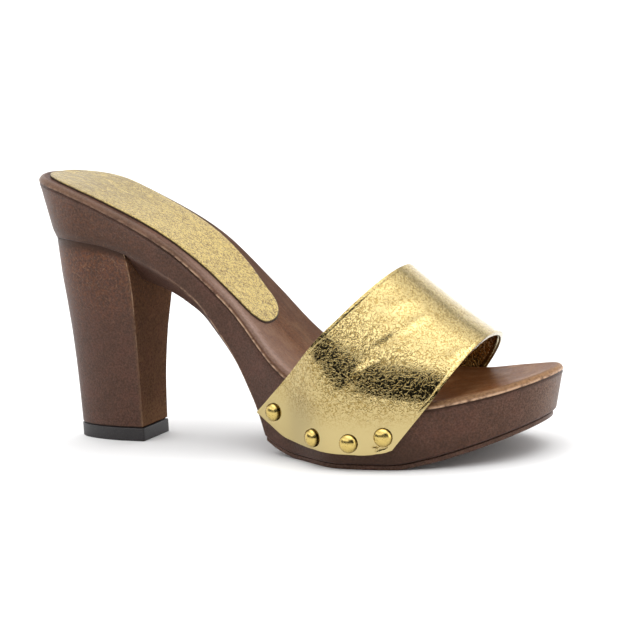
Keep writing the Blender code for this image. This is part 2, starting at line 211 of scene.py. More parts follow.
# Heel block, a row for each height; the top row meets the seat
HEEL = table(
    "height back widest breast half_width roundness",
    (5.7, 9.2, 38.0, 45.4, 10.9, 1.85),
    (25.0, 8.7, 37.0, 45.9, 11.7, 1.9),
    (45.0, 8.0, 35.0, 47.0, 14.0, 1.95),
    (58.0, 7.4, 33.5, 48.2, 16.4, 2.0),
    (70.0, 6.7, 32.0, 49.1, 19.0, 2.0),
    (84.0, 6.2, 31.0, 49.2, 22.2, 2.0),
)
HEEL_SIDE = -0.9
HEEL_FOOT = 5.9
HEEL_TOP = 74.0
HEEL_RINGS = 34
HEEL_CORNER_STEPS = 4
HEEL_FLAT_STEPS = 10
HEEL_ROUND_STEPS = 26
HEEL_BREAST_STEPS = 12
HEEL_COVE = 1.1
HEEL_SUNK = 0.05
COVE_ROWS = (0.2, 0.4, 0.55, 0.68, 0.78, 0.86, 0.93, 1.0)
COVE_START = 0.6
COVE_SIDES = (8.0, 40.0)
# Painted shade in the cove under the seat's ledge
COVE_SHADE = 0.75
COVE_WARM = 0.9
BREAST_EDGE = (1.2, 0.2)
BREAST_FACING = 0.9
BREAST_PALE = 0.22
BREAST_SCUFF = 0.2
SCUFF_END = (8.0, 20.0)
EDGE_FLASH = 0.2
EDGE_FLASH_RISE = (35.0, 60.0)
HEEL_WARM = 0.15
HEEL_WARMER = 0.5
WARM_START = 45.0
# The heel is set in at its joint with the tip, and the joint is painted in shade
HEEL_JOINT = 0.45
JOINT_STEP = 0.12
JOINT_DEEP = 0.6
TIP_PROUD = 0.25
TIP_HIGH = 5.7
TIP_ROUND = 0.35

# Strap, a row for each line across the foot from its rear edge (0) to its front edge (1)
STRAP_GAP = 0.4
STRAP_CROWN_Y = -7.0
STRAP = table(
    "along outer_foot_x outer_foot_z outer_x outer_fullness outer_sweep crown_x crown_z "
    "inner_foot_x inner_foot_z inner_x inner_fullness inner_sweep",
    (0.00, 109.4, 18.2, 125.4, 2.30, 0.93, 167.5, 74.2, 117.0, 17.6, 127.0, 1.70, 0.45),
    (0.10, 115.9, 14.2, 131.5, 2.29, 0.93, 171.0, 71.2, 122.2, 13.8, 132.5, 1.71, 0.51),
    (0.25, 125.6, 9.2, 140.7, 2.28, 0.92, 176.2, 66.8, 130.2, 9.4, 140.7, 1.74, 0.60),
    (0.50, 141.7, 7.4, 155.9, 2.26, 0.91, 184.9, 59.7, 143.4, 7.4, 154.3, 1.77, 0.75),
    (0.80, 161.1, 6.7, 174.3, 2.24, 0.89, 195.3, 51.6, 159.2, 6.7, 170.7, 1.82, 0.93),
    (0.95, 170.8, 7.8, 183.4, 2.22, 0.88, 200.6, 47.9, 167.0, 7.7, 178.9, 1.84, 1.02),
    (1.00, 174.0, 8.9, 186.5, 2.22, 0.88, 202.3, 46.7, 169.6, 8.8, 181.6, 1.85, 1.05),
)
STRAP_WALL_STEPS = 14
STRAP_ARCH_STEPS = 60
STRAP_ACROSS = 280
STRAP_MIDDLE_LINES = 72
STRAP_EDGE_LINES = (0.0, 0.3, 0.6, 0.85, 1.05, 1.2, 1.35, 1.55, 1.9, 2.5)
STRAP_MEAN_LENGTH = 58.0
STRAP_EDGE_ROUND = 0.55
LINING_FACING = 0.3
REAR_FOLD = 0.35
FRONT_FOLD = (6.0, 26.0)
TURNED_IN = 2.6
CRINKLED = (9.0, 24.0)
FOLD_SOFT = 0.3
GROOVE_AWAY = 0.25
GROOVE_WIDE = 0.3
GROOVE_DEEP = 0.6

# Heel pad on the footbed
SOCK_BACK = 5.0
SOCK_FRONT = 106.0
SOCK_TOE_ROUND = 9.0
SOCK_TOE_FULLNESS = 2.3
SOCK_TOE_SIDE = 6.0
SOCK = table(
    "x outer inner",
    (30.0, 23.9, 22.6),
    (45.0, 22.5, 21.8),
    (74.0, 19.4, 19.6),
    (86.0, 16.6, 17.6),
    (SOCK_FRONT - SOCK_TOE_ROUND, 15.6, 13.0),
)
SOCK_STATIONS = 110
SOCK_ROWS = (0.0, 0.25, 0.5, 0.75, 0.9)
PAD_WORN_AND_SHADED = (20.0, 75.0)
# Where the greyer back of the pad fades out: rubbed wear and painted shade
PAD_SUNK = 0.05
PAD_EDGE = table(
    "depth down cut", (0.6, 0.0, 0.0), (0.25, 0.06, 0.0), (0.05, 0.3, 0.8), (0.0, 0.6, 1.0)
)

# Dome-headed nails along the strap's lower edges
NAILS = table(
    "name side x z",
    ("stud_outer_1", -1, 118.8, 19.2),
    ("stud_outer_2", -1, 141.1, 12.0),
    ("stud_outer_3", -1, 157.0, 11.2),
    ("stud_outer_4", -1, 170.8, 13.9),
    ("stud_inner_1", 1, 123.0, 18.6),
    ("stud_inner_2", 1, 140.0, 12.0),
    ("stud_inner_3", 1, 155.0, 11.2),
    ("stud_inner_4", 1, 168.0, 13.8),
)
NAIL_STAND = 2.4
# Heights up the nail over which the painted shade at its foot fades out
STUD_FOOT = (-0.05, 1.2)
STUD_NECK = table("width down", (0.97, 0.22), (0.88, 0.1), (0.985, 0.5))
DIMPLE_RADIUS = 6.0
DIMPLE_DEPTH = 0.25

# Creases of the strap: from one place to another, how wide, how far up and how wrinkled.
# A run is measured from the lower edge of the outer side (minus: of the inner side).
CREASES = table(
    "along run along_end run_end width height wrinkle",
    (0.395, 53.5, 0.485, 73.0, 2.4, -0.2, 0.0),
    (0.37, 29.0, 0.43, 47.0, 2.6, 0.14, 0.4),
    (0.13, 36.0, 0.12, 47.0, 2.6, 0.12, 0.3),
    (0.89, 44.0, 0.93, 54.0, 2.8, -0.14, 0.0),
    (0.22, 74.0, 0.34, 86.0, 4.0, -0.2, 0.0),
    (0.62, 70.0, 0.72, 84.0, 4.0, -0.16, 0.0),
    (0.84, 4.6, 0.90, 3.4, 0.9, -0.3, 2.0),
    (0.88, 1.8, 0.955, 2.8, 0.9, -0.3, 2.0),
    (0.90, 5.6, 0.95, 4.6, 0.9, -0.25, 2.0),
    (0.52, -50.0, 0.60, -66.0, 2.6, -0.38, 0.2),
    (0.30, -44.0, 0.36, -56.0, 3.0, -0.25, 0.3),
    (0.78, -34.0, 0.72, -46.0, 2.6, 0.16, 0.6),
    (0.20, -30.0, 0.22, -42.0, 2.6, 0.14, 0.6),
    (0.88, -0.0, 0.87, -5.0, 0.8, -0.22, 0.0),
)
# Where a crease fades in and out, in parts of its length
CREASE_START = (-0.15, 0.25)
CREASE_END = (0.75, 1.15)

# Floor and camera of the studio
FLOOR_SIZE = 12.0
SENSOR = 36.0
NEAREST = 0.05
FURTHEST = 60.0

# Light of the studio: where each part of it begins and ends, by height or by turn
ROOM_CORNER = (1.0, -1.0, 0.0)
ROOM_MIDDLE = (-0.09, -1.0, 0.0)
ROOM_RISE = {"From Min": 0.62, "From Max": 0.98, "To Min": 0.36, "To Max": 0.69}
ROOM_TOP = {"From Min": -0.05, "From Max": 0.05, "To Min": 1.0, "To Max": 0.0}
ROOM_FOOT = {"From Min": 0.0, "From Max": 0.03}
ROOM_SIDES = {"From Min": 0.13, "From Max": 0.33}
SKY_SIDES = {"From Min": -0.5, "From Max": 0.1}
SKY_TOP = {"From Min": 0.55, "From Max": 0.75}
HORIZON = {"From Min": 0.045, "From Max": 0.1, "To Min": 1.2, "To Max": 0.0}
GLOW_REACH = {"From Min": 0.05, "From Max": 0.22, "To Max": 0.0}
LAMP_REACH = {"From Min": 0.8, "From Max": 0.96, "To Min": 0.0}


def linear(code):
    """Linear RGBA of an sRGB hex colour."""
    parts = [int(code[i:i + 2], 16) / 255.0 for i in (1, 3, 5)]
    return [p / 12.92 if p <= 0.04045 else ((p + 0.055) / 1.055) ** 2.4 for p in parts] + [1.0]


def size_mm(name, description, millimetres):
    """Property for a size that is given in millimetres and kept in metres."""
    return FloatProperty(
        name=name, description=description, default=millimetres * MM, unit="LENGTH", precision=5
    )


def angle_degrees(name, description, degrees):
    """Property for an angle that is given in degrees and kept in radians."""
    return FloatProperty(
        name=name, description=description, default=math.radians(degrees), subtype="ANGLE"
    )


def colour(name, description, code):
    """Property for a colour that is given as an sRGB hex value."""
    return FloatVectorProperty(
        name=name, description=description, default=linear(code), size=4, subtype="COLOR",
        min=0.0, max=1.0,
    )


class MuleSizes(bpy.types.PropertyGroup):
    """Sizes of the details that the tables do not give."""

    bed_dish: size_mm("Footbed dish", "How far the footbed sinks between its rims", 0.4)
    flash_proud: size_mm("Flash", "How far the mould flash stands out at the parting line", 0.14)
    heel_corner: size_mm("Heel corner", "Radius of the heel's two front corners", 0.7)
    strap_wall: size_mm("Strap thickness", "Thickness of the folded leather", 1.9)
    fold_width: size_mm("Fold width", "Width of the turned edge of the strap", 1.2)
    fold_depth: size_mm("Fold step", "How far the turned edge stands up", 0.16)
    sock_thick: size_mm("Pad thickness", "Thickness of the heel pad", 1.3)
    stud_radius: size_mm("Stud radius", "Radius of a nail's dome", 3.7)
    stud_high: size_mm("Stud height", "Height of a nail's dome", 2.5)


class MuleColours(bpy.types.PropertyGroup):
    """Colours of the finishes."""

    brown: colour("Brown", "Main colour of the moulded sole and heel", "#503830")
    # Also paints the shade in the grooves, under the wall, in the heel's cove and joint and on the
    # inner footbed
    dark_brown: colour("Dark brown", "Dark parts of the moulding", "#2F1F18")
    red_brown: colour("Red brown", "Warm scuffs of the moulding", "#74462B")
    mahogany: colour("Mahogany", "Faint red patches of the moulding", "#6E4038")
    rim_brown: colour("Rim brown", "Worn top of the rim", "#92704F")
    # Painted sheen on the footbed's light border at the waist
    margin: colour("Margin", "Light border of the footbed at the waist", "#B69E93")
    bed_brown: colour("Footbed brown", "Satin footbed", "#704626")
    sheen: colour("Sheen", "Tint of the shine on the moulding", "#FFE6D2")
    # Also paints a highlight along the lower edge of the wall at the waist
    flash_tan: colour("Flash tan", "Bare edge of the mould flash", "#B9987C")
    gold: colour("Gold", "Foil on the strap", "#BBA977")
    old_gold: colour("Old gold", "Foil in the hollows of the strap's grain", "#8F7640")
    pad_gold: colour("Pad gold", "Leather of the heel pad", "#CDB56C")
    pad_hollow: colour("Pad hollows", "Hollows of the heel pad's grain", "#765C28")
    # Greyer back of the heel pad: rubbed wear, and painted shade for the dimmer reflection there
    pad_worn_and_shaded: colour("Pad worn", "Heel pad where the heel has rubbed it", "#7C6C4A")
    pad_edge: colour("Pad edge", "Cut edge of the heel pad", "#38261A")
    lining: colour("Lining", "Leather inside the strap", "#C08E48")
    brass: colour("Brass", "Nail heads", "#C8B069")
    # Painted shade round the foot of the nail heads
    foot_shade: colour("Tarnish", "Foot of the nail heads", "#3A2C10")
    rubber: colour("Rubber", "Heel tip", "#1D191A")
    dust: colour("Dust", "Grey dust on the heel tip", "#5A5656")
    floor: colour("Floor", "Pale floor", "#E2E2E2")


class MuleStudio(bpy.types.PropertyGroup):
    """Camera and light of the studio."""

    azimuth: angle_degrees("Azimuth", "Camera's turn from the outer side towards the toe", 24.827)
    elevation: angle_degrees("Elevation", "Camera's height above the horizon", 8.204)
    roll: angle_degrees("Roll", "Camera's turn about its own axis", -3.184)
    lens: FloatProperty(name="Lens", description="Focal length in millimetres", default=98.25)
    distance: FloatProperty(
        name="Distance", description="From the camera to its target", default=0.72045,
        unit="LENGTH",
    )
    target: FloatVectorProperty(
        name="Target", description="Point in the middle of the picture",
        default=(0.01238, 0.00180, 0.05181), subtype="TRANSLATION", unit="LENGTH",
    )
    sky: FloatProperty(name="Sky", description="Strength of the light above the camera", default=1.55)
    wall: FloatProperty(name="Wall", description="Strength of the wall behind", default=0.5)
    lamp: FloatProperty(name="Lamp", description="Strength of the soft lamp overhead", default=2.2)
    glow: FloatProperty(name="Glow", description="More light just over the dark room", default=1.1)
    dusk: FloatProperty(name="Dusk", description="Strength of the dark room in front", default=0.02)


def place(x, y, z):
    """A point of the shoe, in metres around its middle."""
    return Vector(((x - MIDDLE_X) * MM, (y - MIDDLE_Y) * MM, z * MM))


def curve(rows, column):
    """Smooth curve through one column of a table, with no overshoot between its rows."""
    xs = [row[0] for row in rows]
    ys = [getattr(row, column) for row in rows]
    count = len(xs)
    steps = [xs[i + 1] - xs[i] for i in range(count - 1)]
    rises = [(ys[i + 1] - ys[i]) / steps[i] for i in range(count - 1)]
    slopes = [rises[0]]
    for i in range(1, count - 1):
        before, after = rises[i - 1], rises[i]
        if before * after <= 0.0:
            slopes.append(0.0)
        else:
            first = 2.0 * steps[i] + steps[i - 1]
            second = steps[i] + 2.0 * steps[i - 1]
            slopes.append((first + second) / (first / before + second / after))
    slopes.append(rises[-1])

    def value(x):
        i = min(max(bisect_right(xs, x) - 1, 0), count - 2)
        t = min(max((x - xs[i]) / steps[i], 0.0), 1.0)
        low = (1.0 + 2.0 * t) * (1.0 - t) ** 2 * ys[i] + t * t * (3.0 - 2.0 * t) * ys[i + 1]
        lean = t * (1.0 - t) ** 2 * slopes[i] - t * t * (1.0 - t) * slopes[i + 1]
        return low + lean * steps[i]

    return value


def curves(rows):
    """Smooth curves through all the columns of a table, by their names."""
    return {column: curve(rows, column) for column in rows[0]._fields[1:]}


def quarter(part, fullness):
    """Height of a rounded quarter, from 1 at its start to 0 at its end."""
    part = min(max(part, 0.0), 1.0)
    return (1.0 - part ** fullness) ** (1.0 / fullness)


def ramp(value, low, high):
    """Smooth step from 0 at low to 1 at high."""
    t = min(max((value - low) / (high - low), 0.0), 1.0)
    return t * t * (3.0 - 2.0 * t)


parting = curve(PARTING, "height")
tread = curve(TREAD, "height")
waist_foot = curve(WAIST, "foot")
wall_lean = curve(LEAN, "inset")
bevel_in = curve(WAIST, "bevel_in")
bevel_down = curve(WAIST, "bevel_down")
outer_middle = curve(PLAN, "outer")
inner_middle = curve(PLAN, "inner")
sock_outer = curve(SOCK, "outer")
sock_inner = curve(SOCK, "inner")
FINISH_CURVES = curves(FINISH)
HEEL_CURVES = curves(HEEL)
STRAP_CURVES = curves(STRAP)


def outer_width(x):
    """Half width of the sole on the outer side of the foot."""
    if x < HEEL_ROUND:
        return PLAN[0].outer * quarter(1.0 - x / HEEL_ROUND, 2.0)
    if x > OUTER_BALL:
        part = (x - OUTER_BALL) / (LENGTH - OUTER_BALL)
        return (outer_middle(OUTER_BALL) + TOE_SIDE) * quarter(part, TOE_FULLNESS) - TOE_SIDE
    return outer_middle(x)


def inner_width(x):
    """Half width of the sole on the inner side of the foot."""
    if x < HEEL_ROUND:
        return PLAN[0].inner * quarter(1.0 - x / HEEL_ROUND, 2.0)
    if x > INNER_BALL:
        part = (x - INNER_BALL) / (LENGTH - INNER_BALL)
        return (inner_middle(INNER_BALL) - TOE_SIDE) * quarter(part, TOE_FULLNESS) + TOE_SIDE
    return inner_middle(x)


def wall_foot(x):
    """Height of the side wall's foot, which follows the tread along the forefoot."""
    if x > TREAD_REAR:
        return tread(x) + OUTSOLE_THICK + SOLE_JOINT + EDGE_DOWN
    return waist_foot(x)


def under(x):
    """Height of the sole's underside."""
    return wall_foot(x) - bevel_down(x)


def wall_side(x, z, side):
    """Half width of the sole's side wall at one height, on either side of the foot."""
    width = outer_width(x) if side < 0 else inner_width(x)
    top, foot = parting(x), wall_foot(x)
    down = min(max((top - z) / (top - foot), 0.0), 1.0)
    return width - wall_lean(x) * down


def stations(first, last, count):
    """Places along the shoe, closer together towards both ends."""
    middle, half = (first + last) / 2.0, (last - first) / 2.0
    return [middle - half * math.cos(math.pi * i / count) for i in range(count + 1)]


def sole_stations():
    """Stations of the sole, with one at each corner of its underside."""
    fixed = [BREAST_X, BREAST_X + BREAST_STEP, TREAD_REAR, FLAT_REAR, FLAT_FRONT]
    places = stations(0.0, LENGTH, SOLE_STATIONS)
    free = [x for x in places if min(abs(x - corner) for corner in fixed) > STATION_CLEAR]
    return sorted(free + fixed)


def outline(places, outer, inner):
    """Ring of plan points: forward along the outer side and back along the inner side."""
    forward = [(x, -outer(x)) for x in places]
    backward = [(x, inner(x)) for x in reversed(places[1:-1])]
    return [Vector(point) for point in forward + backward]


def inset(ring, depth):
    """The ring moved inwards by depth(x): straight across between heel round and ball."""
    moved = []
    for i, point in enumerate(ring):
        along = ring[(i + 1) % len(ring)] - ring[i - 1]
        inward = Vector((-along.y, along.x)).normalized()
        if HEEL_ROUND < point.x < OUTER_BALL:
            inward = Vector((0.0, math.copysign(1.0, inward.y)))
        moved.append(point + inward * depth(point.x))
    return moved


def lift(ring, height):
    """Points of a plan ring at the height that a profile gives."""
    return [place(point.x, point.y, height(point.x)) for point in ring]


def spine(ring, shift=0):
    """The ring folded flat on the line half way between its two sides."""
    count = len(ring)
    return [(ring[i] + ring[(-i - shift) % count]) / 2.0 for i in range(count)]


def between(first, second, part):
    """Ring part of the way from the first ring to the second."""
    return [a.lerp(b, part) for a, b in zip(first, second)]


def moved(ring, up):
    """The ring moved up by some millimetres."""
    return [point + Vector((0.0, 0.0, up * MM)) for point in ring]


def start_form(name, add, **settings):
    """Add a primitive on its own, name it and open it for editing."""
    bpy.ops.object.select_all(action="DESELECT")
    add(location=(0.0, 0.0, 0.0), **settings)
    made = bpy.context.object
    made.name = name
    made.data.name = name
    bpy.ops.object.mode_set(mode="EDIT")
    return made


def close_form(made, smooth_angle, merge=True):
    """Merge what meets, turn the faces out, leave edit mode and shade the form."""
    bpy.ops.mesh.select_all(action="SELECT")
    if merge:
        bpy.ops.mesh.remove_doubles(threshold=2e-6)
        bpy.ops.mesh.normals_make_consistent(inside=False)
    bpy.ops.object.mode_set(mode="OBJECT")
    bpy.ops.object.shade_smooth_by_angle(angle=math.radians(smooth_angle))
    return made


def apply_modifiers(made):
    """Apply every modifier of a form, in order."""
    bpy.context.view_layer.objects.active = made
    for name in [modifier.name for modifier in made.modifiers]:
        bpy.ops.object.modifier_apply(modifier=name)


def round_edges(made, name, width, least_turn):
    """Add a small bevel to the edges that turn by more than some degrees."""
    bevel = made.modifiers.new(name, "BEVEL")
    bevel.width = width * MM
    bevel.segments = 3
    bevel.limit_method = "ANGLE"
    bevel.angle_limit = math.radians(least_turn)


def loft(name, rings, smooth_angle, capped=False):
    """Form drawn out ring by ring from a circle; each ring brings its points and its zones."""
    made = start_form(
        name, bpy.ops.mesh.primitive_circle_add, vertices=len(rings[0][0]), radius=0.05
    )
    form = bmesh.from_edit_mesh(made.data)
    form.verts.layers.int.new("spot")
    for zone in rings[0][1]:
        form.verts.layers.float.new(zone)
    spot = form.verts.layers.int["spot"]
    for i, vert in enumerate(form.verts):
        vert[spot] = i
    for number, (points, zones) in enumerate(rings):
        if number:
            bpy.ops.mesh.extrude_region()
        form = bmesh.from_edit_mesh(made.data)
        spot = form.verts.layers.int["spot"]
        layers = {zone: form.verts.layers.float[zone] for zone in zones}
        for vert in form.verts:
            if vert.select:
                vert.co = points[vert[spot]]
                for zone, share in zones.items():
                    vert[layers[zone]] = share[vert[spot]] if isinstance(share, list) else share
        bmesh.update_edit_mesh(made.data)
        if capped and number in (0, len(rings) - 1):
            bpy.ops.mesh.edge_face_add()
            if number == 0:
                select_open_ring(made)
    close_form(made, smooth_angle)
    made.data.attributes.remove(made.data.attributes["spot"])
    return made


def select_open_ring(made):
    """Select the first ring without its cap, so that the next one is drawn out of it."""
    form = bmesh.from_edit_mesh(made.data)
    for face in form.faces:
        face.select = False
    for edge in form.edges:
        edge.select = True
    form.select_flush(False)
    bmesh.update_edit_mesh(made.data)


def hand_over(piece, material, slot, *nodes):
    """Give a finished piece its material and its place in the frame."""
    piece.data.materials.clear()
    piece.data.materials.append(material)
    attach(piece, BODY)
    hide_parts(*nodes)
    return {"FINISHED"}


def node(tree, kind, settings=None, inputs=None, out=0):
    """Add a node with its settings; an input is a value or the output that feeds it."""
    made = tree.nodes.new("ShaderNode" + kind)
    for name, value in (settings or {}).items():
        setattr(made, name, value)
    for key, value in (inputs or {}).items():
        if isinstance(value, bpy.types.NodeSocket):
            tree.links.new(value, made.inputs[key])
        else:
            made.inputs[key].default_value = value
    return made.outputs[out] if made.outputs else None


def per_metre(millimetres):
    """Scale of a pattern whose features are some millimetres wide."""
    return 1.0 / (millimetres * MM)


def new_material(name):
    """Empty material and its node tree."""
    material = bpy.data.materials.new(name)
    material.use_nodes = True
    material.node_tree.nodes.clear()
    return material, material.node_tree


TIMES = {"operation": "MULTIPLY"}
TIMES_ADD = {"operation": "MULTIPLY_ADD"}
DOT = {"operation": "DOT_PRODUCT"}
Coat = namedtuple("Coat", "shade pattern low high least most zone")


def coats(tree, base, layers):
    """Lay finishes over a colour, each as far as its pattern and its zone let it show."""
    for layer in layers:
        share = node(tree, "MapRange", {}, {
            "Value": layer.pattern, "From Min": layer.low, "From Max": layer.high,
            "To Min": layer.least, "To Max": layer.most,
        })
        if layer.zone is not None:
            share = node(tree, "Math", TIMES, {0: layer.zone, 1: share})
        base = node(tree, "Mix", {"data_type": "RGBA"}, {0: share, 6: base, 7: layer.shade}, 2)
    return base


def moulded_polyurethane(colours, name="moulded_polyurethane", sheen=0.24):
    """Foamed polyurethane cast in a wood-look mould and wiped with brown stain.

    The eye gets a satin brown with fine pores, warm scuffs and light scratches, a worn pale
    rim and toe, and a broken line of bare flash at the parting edge. Painted shade darkens the
    grooves, the foot of the wall and what lies under it, the heel's cove and joint and the inner
    footbed; a painted sheen lights the footbed's border and a painted highlight the lower edge
    of the wall at the waist. Pores and scratches of the real one are finer, and are drawn at
    0.7 and 0.5 mm so that they show.
    """
    known = bpy.data.materials.get(name)
    if known:
        return known
    material, tree = new_material(name)
    spot = node(tree, "TexCoord", out="Object")
    zone = {name: node(tree, "Attribute", {"attribute_name": name}, out="Fac") for name in BARE}
    pore, speck, cloud, gaps = (
        node(tree, "TexNoise", {}, {"Vector": spot, "Scale": per_metre(width), "Detail": detail})
        for width, detail in ((0.7, 3.0), (1.1, 4.0), (9.0, 4.0), (2.6, 4.0))
    )
    grain = node(tree, "Mapping", {"vector_type": "TEXTURE"}, {
        "Vector": spot, "Scale": (9.0, 1.0, 9.0),
    })
    streak = node(tree, "TexNoise", {}, {"Vector": grain, "Scale": per_metre(1.4), "Detail": 3.0})
    scratches = []
    for turn in (0.6, 2.3):
        slant = node(tree, "Mapping", {"vector_type": "TEXTURE"}, {
            "Vector": spot, "Rotation": (0.0, turn, 0.0), "Scale": (1.0, 2.0, 9.0),
        })
        scratches.append(node(tree, "TexNoise", {}, {
            "Vector": slant, "Scale": per_metre(0.5), "Detail": 2.0,
        }))
    dark, tan = colours.dark_brown, colours.flash_tan
    wall = coats(tree, colours.brown, [
        Coat(dark, pore, 0.6, 0.36, 0.0, 0.75, None),
        Coat(dark, cloud, 0.5, 0.3, 0.0, 0.3, None),
        Coat(colours.mahogany, cloud, 0.5, 0.68, 0.0, 0.1, None),
        Coat(colours.red_brown, speck, 0.42, 0.7, 0.0, 0.8, zone["warm"]),
        Coat(tan, pore, 0.62, 0.76, 0.0, 0.25, zone["warm"]),
    ])
    bed = coats(tree, colours.bed_brown, [
        Coat(dark, pore, 0.6, 0.36, 0.0, 0.45, None),
        Coat(colours.rim_brown, cloud, 0.48, 0.7, 0.0, 0.45, None),
        Coat(dark, streak, 0.5, 0.32, 0.0, 0.4, None),
    ])
    base = coats(tree, wall, [
        Coat(bed, zone["bed"], 0.0, 1.0, 0.0, 1.0, None),
        # Painted sheen along the footbed's light border
        Coat(colours.margin, speck, 0.3, 0.7, 0.5, 1.0, zone["margin"]),
        Coat(colours.rim_brown, speck, 0.3, 0.62, 0.35, 1.0, zone["rim"]),
        Coat(tan, pore, 0.36, 0.7, 0.1, 0.6, zone["wear"]),
        # Painted shade in the grooves, under the wall, in the heel's cove and joint and on the inner
        # footbed
        Coat(dark, zone["dark"], 0.0, 1.0, 0.0, 1.0, None),
        # Bare flash, and along the lower edge of the wall at the waist a painted highlight
        Coat(tan, gaps, 0.36, 0.56, 0.0, 0.9, zone["flash"]),
        Coat(tan, scratches[0], 0.62, 0.8, 0.0, 0.35, zone["warm"]),
        Coat(tan, scratches[1], 0.62, 0.8, 0.0, 0.35, zone["warm"]),
    ])
    gloss = node(tree, "MapRange", {}, {
        "Value": speck, "From Min": 0.3, "From Max": 0.7, "To Min": 0.36, "To Max": 0.5,
    })
    relief = node(tree, "Math", TIMES_ADD, {0: speck, 1: 0.6, 2: pore})
    normal = node(tree, "Bump", {}, {"Height": relief, "Strength": 0.8, "Distance": 0.13 * MM})
    shader = node(tree, "BsdfPrincipled", {}, {
        "Base Color": base, "Roughness": gloss, "Normal": normal,
        "Specular IOR Level": sheen, "Specular Tint": colours.sheen,
    })
    node(tree, "OutputMaterial", {}, {"Surface": shader})
    return material


def wrinkles(tree, spot, width, bend, narrow):
    """Narrow wandering valleys: 0 along a valley and 1 between them."""
    field = node(tree, "TexNoise", {}, {
        "Vector": spot, "Scale": per_metre(width), "Detail": 1.0, "Roughness": 0.5,
        "Distortion": bend,
    })
    level = node(tree, "Math", {"operation": "SUBTRACT"}, {0: field, 1: 0.5})
    level = node(tree, "Math", {"operation": "ABSOLUTE"}, {0: level})
    return node(tree, "MapRange", {"interpolation_type": "SMOOTHSTEP"}, {
        "Value": level, "From Max": narrow,
    })


def foil_leather(colours):
    """Split leather under a thin gold foil, creased when it was stretched over the last.

    The eye gets a mirror broken into fine crinkles, with old gold in its hollows, and a
    smooth bright band low down where the nails pull it flat. The finest crinkles of the real
    one are under a millimetre, and are drawn at 1.1 mm so that they show.
    """
    material, tree = new_material("foil_leather")
    spot = node(tree, "TexCoord", out="Object")
    crinkle = node(tree, "Attribute", {"attribute_name": "crinkle"}, out="Fac")
    lines = [wrinkles(tree, spot, 1.75, 0.7, 0.065), wrinkles(tree, spot, 1.1, 0.6, 0.08)]
    swell = node(tree, "TexNoise", {}, {"Vector": spot, "Scale": per_metre(1.5), "Detail": 1.0})
    # Heights of the relief are in millimetres
    height = node(tree, "Math", TIMES, {0: lines[0], 1: 0.031})
    height = node(tree, "Math", TIMES_ADD, {0: lines[1], 1: 0.01, 2: height})
    height = node(tree, "Math", TIMES_ADD, {0: swell, 1: 0.016, 2: height})
    height = node(tree, "Math", TIMES, {0: height, 1: crinkle})
    both = node(tree, "Math", TIMES, {0: lines[0], 1: lines[1]})
    base = coats(tree, colours.gold, [
        Coat(colours.old_gold, both, 0.7, 0.0, 0.0, 0.85, crinkle),
    ])
    normal = node(tree, "Bump", {}, {"Height": height, "Strength": 1.0, "Distance": MM})
    shader = node(tree, "BsdfPrincipled", {}, {
        "Base Color": base, "Metallic": 1.0, "Roughness": 0.08, "Normal": normal,
    })
    node(tree, "OutputMaterial", {}, {"Surface": shader})
    return material


def lining_leather(colours):
    """Plain brown leather glued inside the strap, creased as it was pulled round the bend.

    The eye gets a dark warm brown with a soft, slightly metallic shine on its creases.
    """
    material, tree = new_material("lining_leather")
    spot = node(tree, "TexCoord", out="Object")
    turned = node(tree, "Mapping", {}, {"Vector": spot, "Scale": (1.0, 0.45, 0.45)})
    crease = wrinkles(tree, turned, 2.2, 0.8, 0.1)
    base = coats(tree, colours.dark_brown, [
        Coat(colours.lining, crease, 0.0, 1.0, 0.3, 1.0, None),
    ])
    normal = node(tree, "Bump", {}, {"Height": crease, "Strength": 1.0, "Distance": 0.6 * MM})
    shader = node(tree, "BsdfPrincipled", {}, {
        "Base Color": base, "Metallic": 0.7, "Roughness": 0.22, "Normal": normal,
    })
    node(tree, "OutputMaterial", {}, {"Surface": shader})
    return material


def pad_leather(colours):
    """Thin gold sheepskin, glued down by hand and pulled along the foot.

    The eye gets a soft metallic sheen over a fine pebbled grain, long faint pulls, a dull grey
    patch under the heel, which is rubbed wear and painted shade for the dimmer reflection there,
    and a dark cut edge. The grain of the real one is about a millimetre across, and is drawn at
    up to 1.9 mm so that it shows on the steep footbed.
    """
    material, tree = new_material("pad_leather")
    spot = node(tree, "TexCoord", out="Object")
    cut = node(tree, "Attribute", {"attribute_name": "cut"}, out="Fac")
    # Share of the greyer back of the pad: rubbed wear and painted shade
    worn = node(tree, "Attribute", {"attribute_name": "worn"}, out="Fac")
    lines = [wrinkles(tree, spot, 1.9, 0.8, 0.075), wrinkles(tree, spot, 1.2, 0.6, 0.08)]
    # Heights of the relief are in millimetres
    height = node(tree, "Math", TIMES, {0: lines[0], 1: 0.13})
    height = node(tree, "Math", TIMES_ADD, {0: lines[1], 1: 0.06, 2: height})
    long = node(tree, "Mapping", {}, {
        "Vector": spot, "Rotation": (0.0, math.radians(-30.0), 0.0), "Scale": (0.1, 1.0, 1.0),
    })
    pull = node(tree, "TexNoise", {}, {"Vector": long, "Scale": per_metre(2.2), "Detail": 2.0})
    height = node(tree, "Math", TIMES_ADD, {0: pull, 1: 0.3, 2: height})
    both = node(tree, "Math", TIMES, {0: lines[0], 1: lines[1]})
    base = coats(tree, colours.pad_gold, [
        Coat(colours.pad_hollow, both, 0.7, 0.0, 0.0, 1.0, None),
        # Greyer back of the pad: rubbed wear and painted shade
        Coat(colours.pad_worn_and_shaded, pull, 0.35, 0.65, 0.15, 0.85, worn),
        Coat(colours.pad_edge, cut, 0.0, 1.0, 0.0, 1.0, None),
    ])
    foil = node(tree, "Math", TIMES_ADD, {0: cut, 1: -0.7, 2: 0.7})
    dull = node(tree, "Math", TIMES_ADD, {0: cut, 1: 0.55, 2: 0.35})
    normal = node(tree, "Bump", {}, {"Height": height, "Strength": 1.0, "Distance": MM})
    shader = node(tree, "BsdfPrincipled", {}, {
        "Base Color": base, "Metallic": foil, "Roughness": dull, "Normal": normal,
    })
    node(tree, "OutputMaterial", {}, {"Surface": shader})
    return material


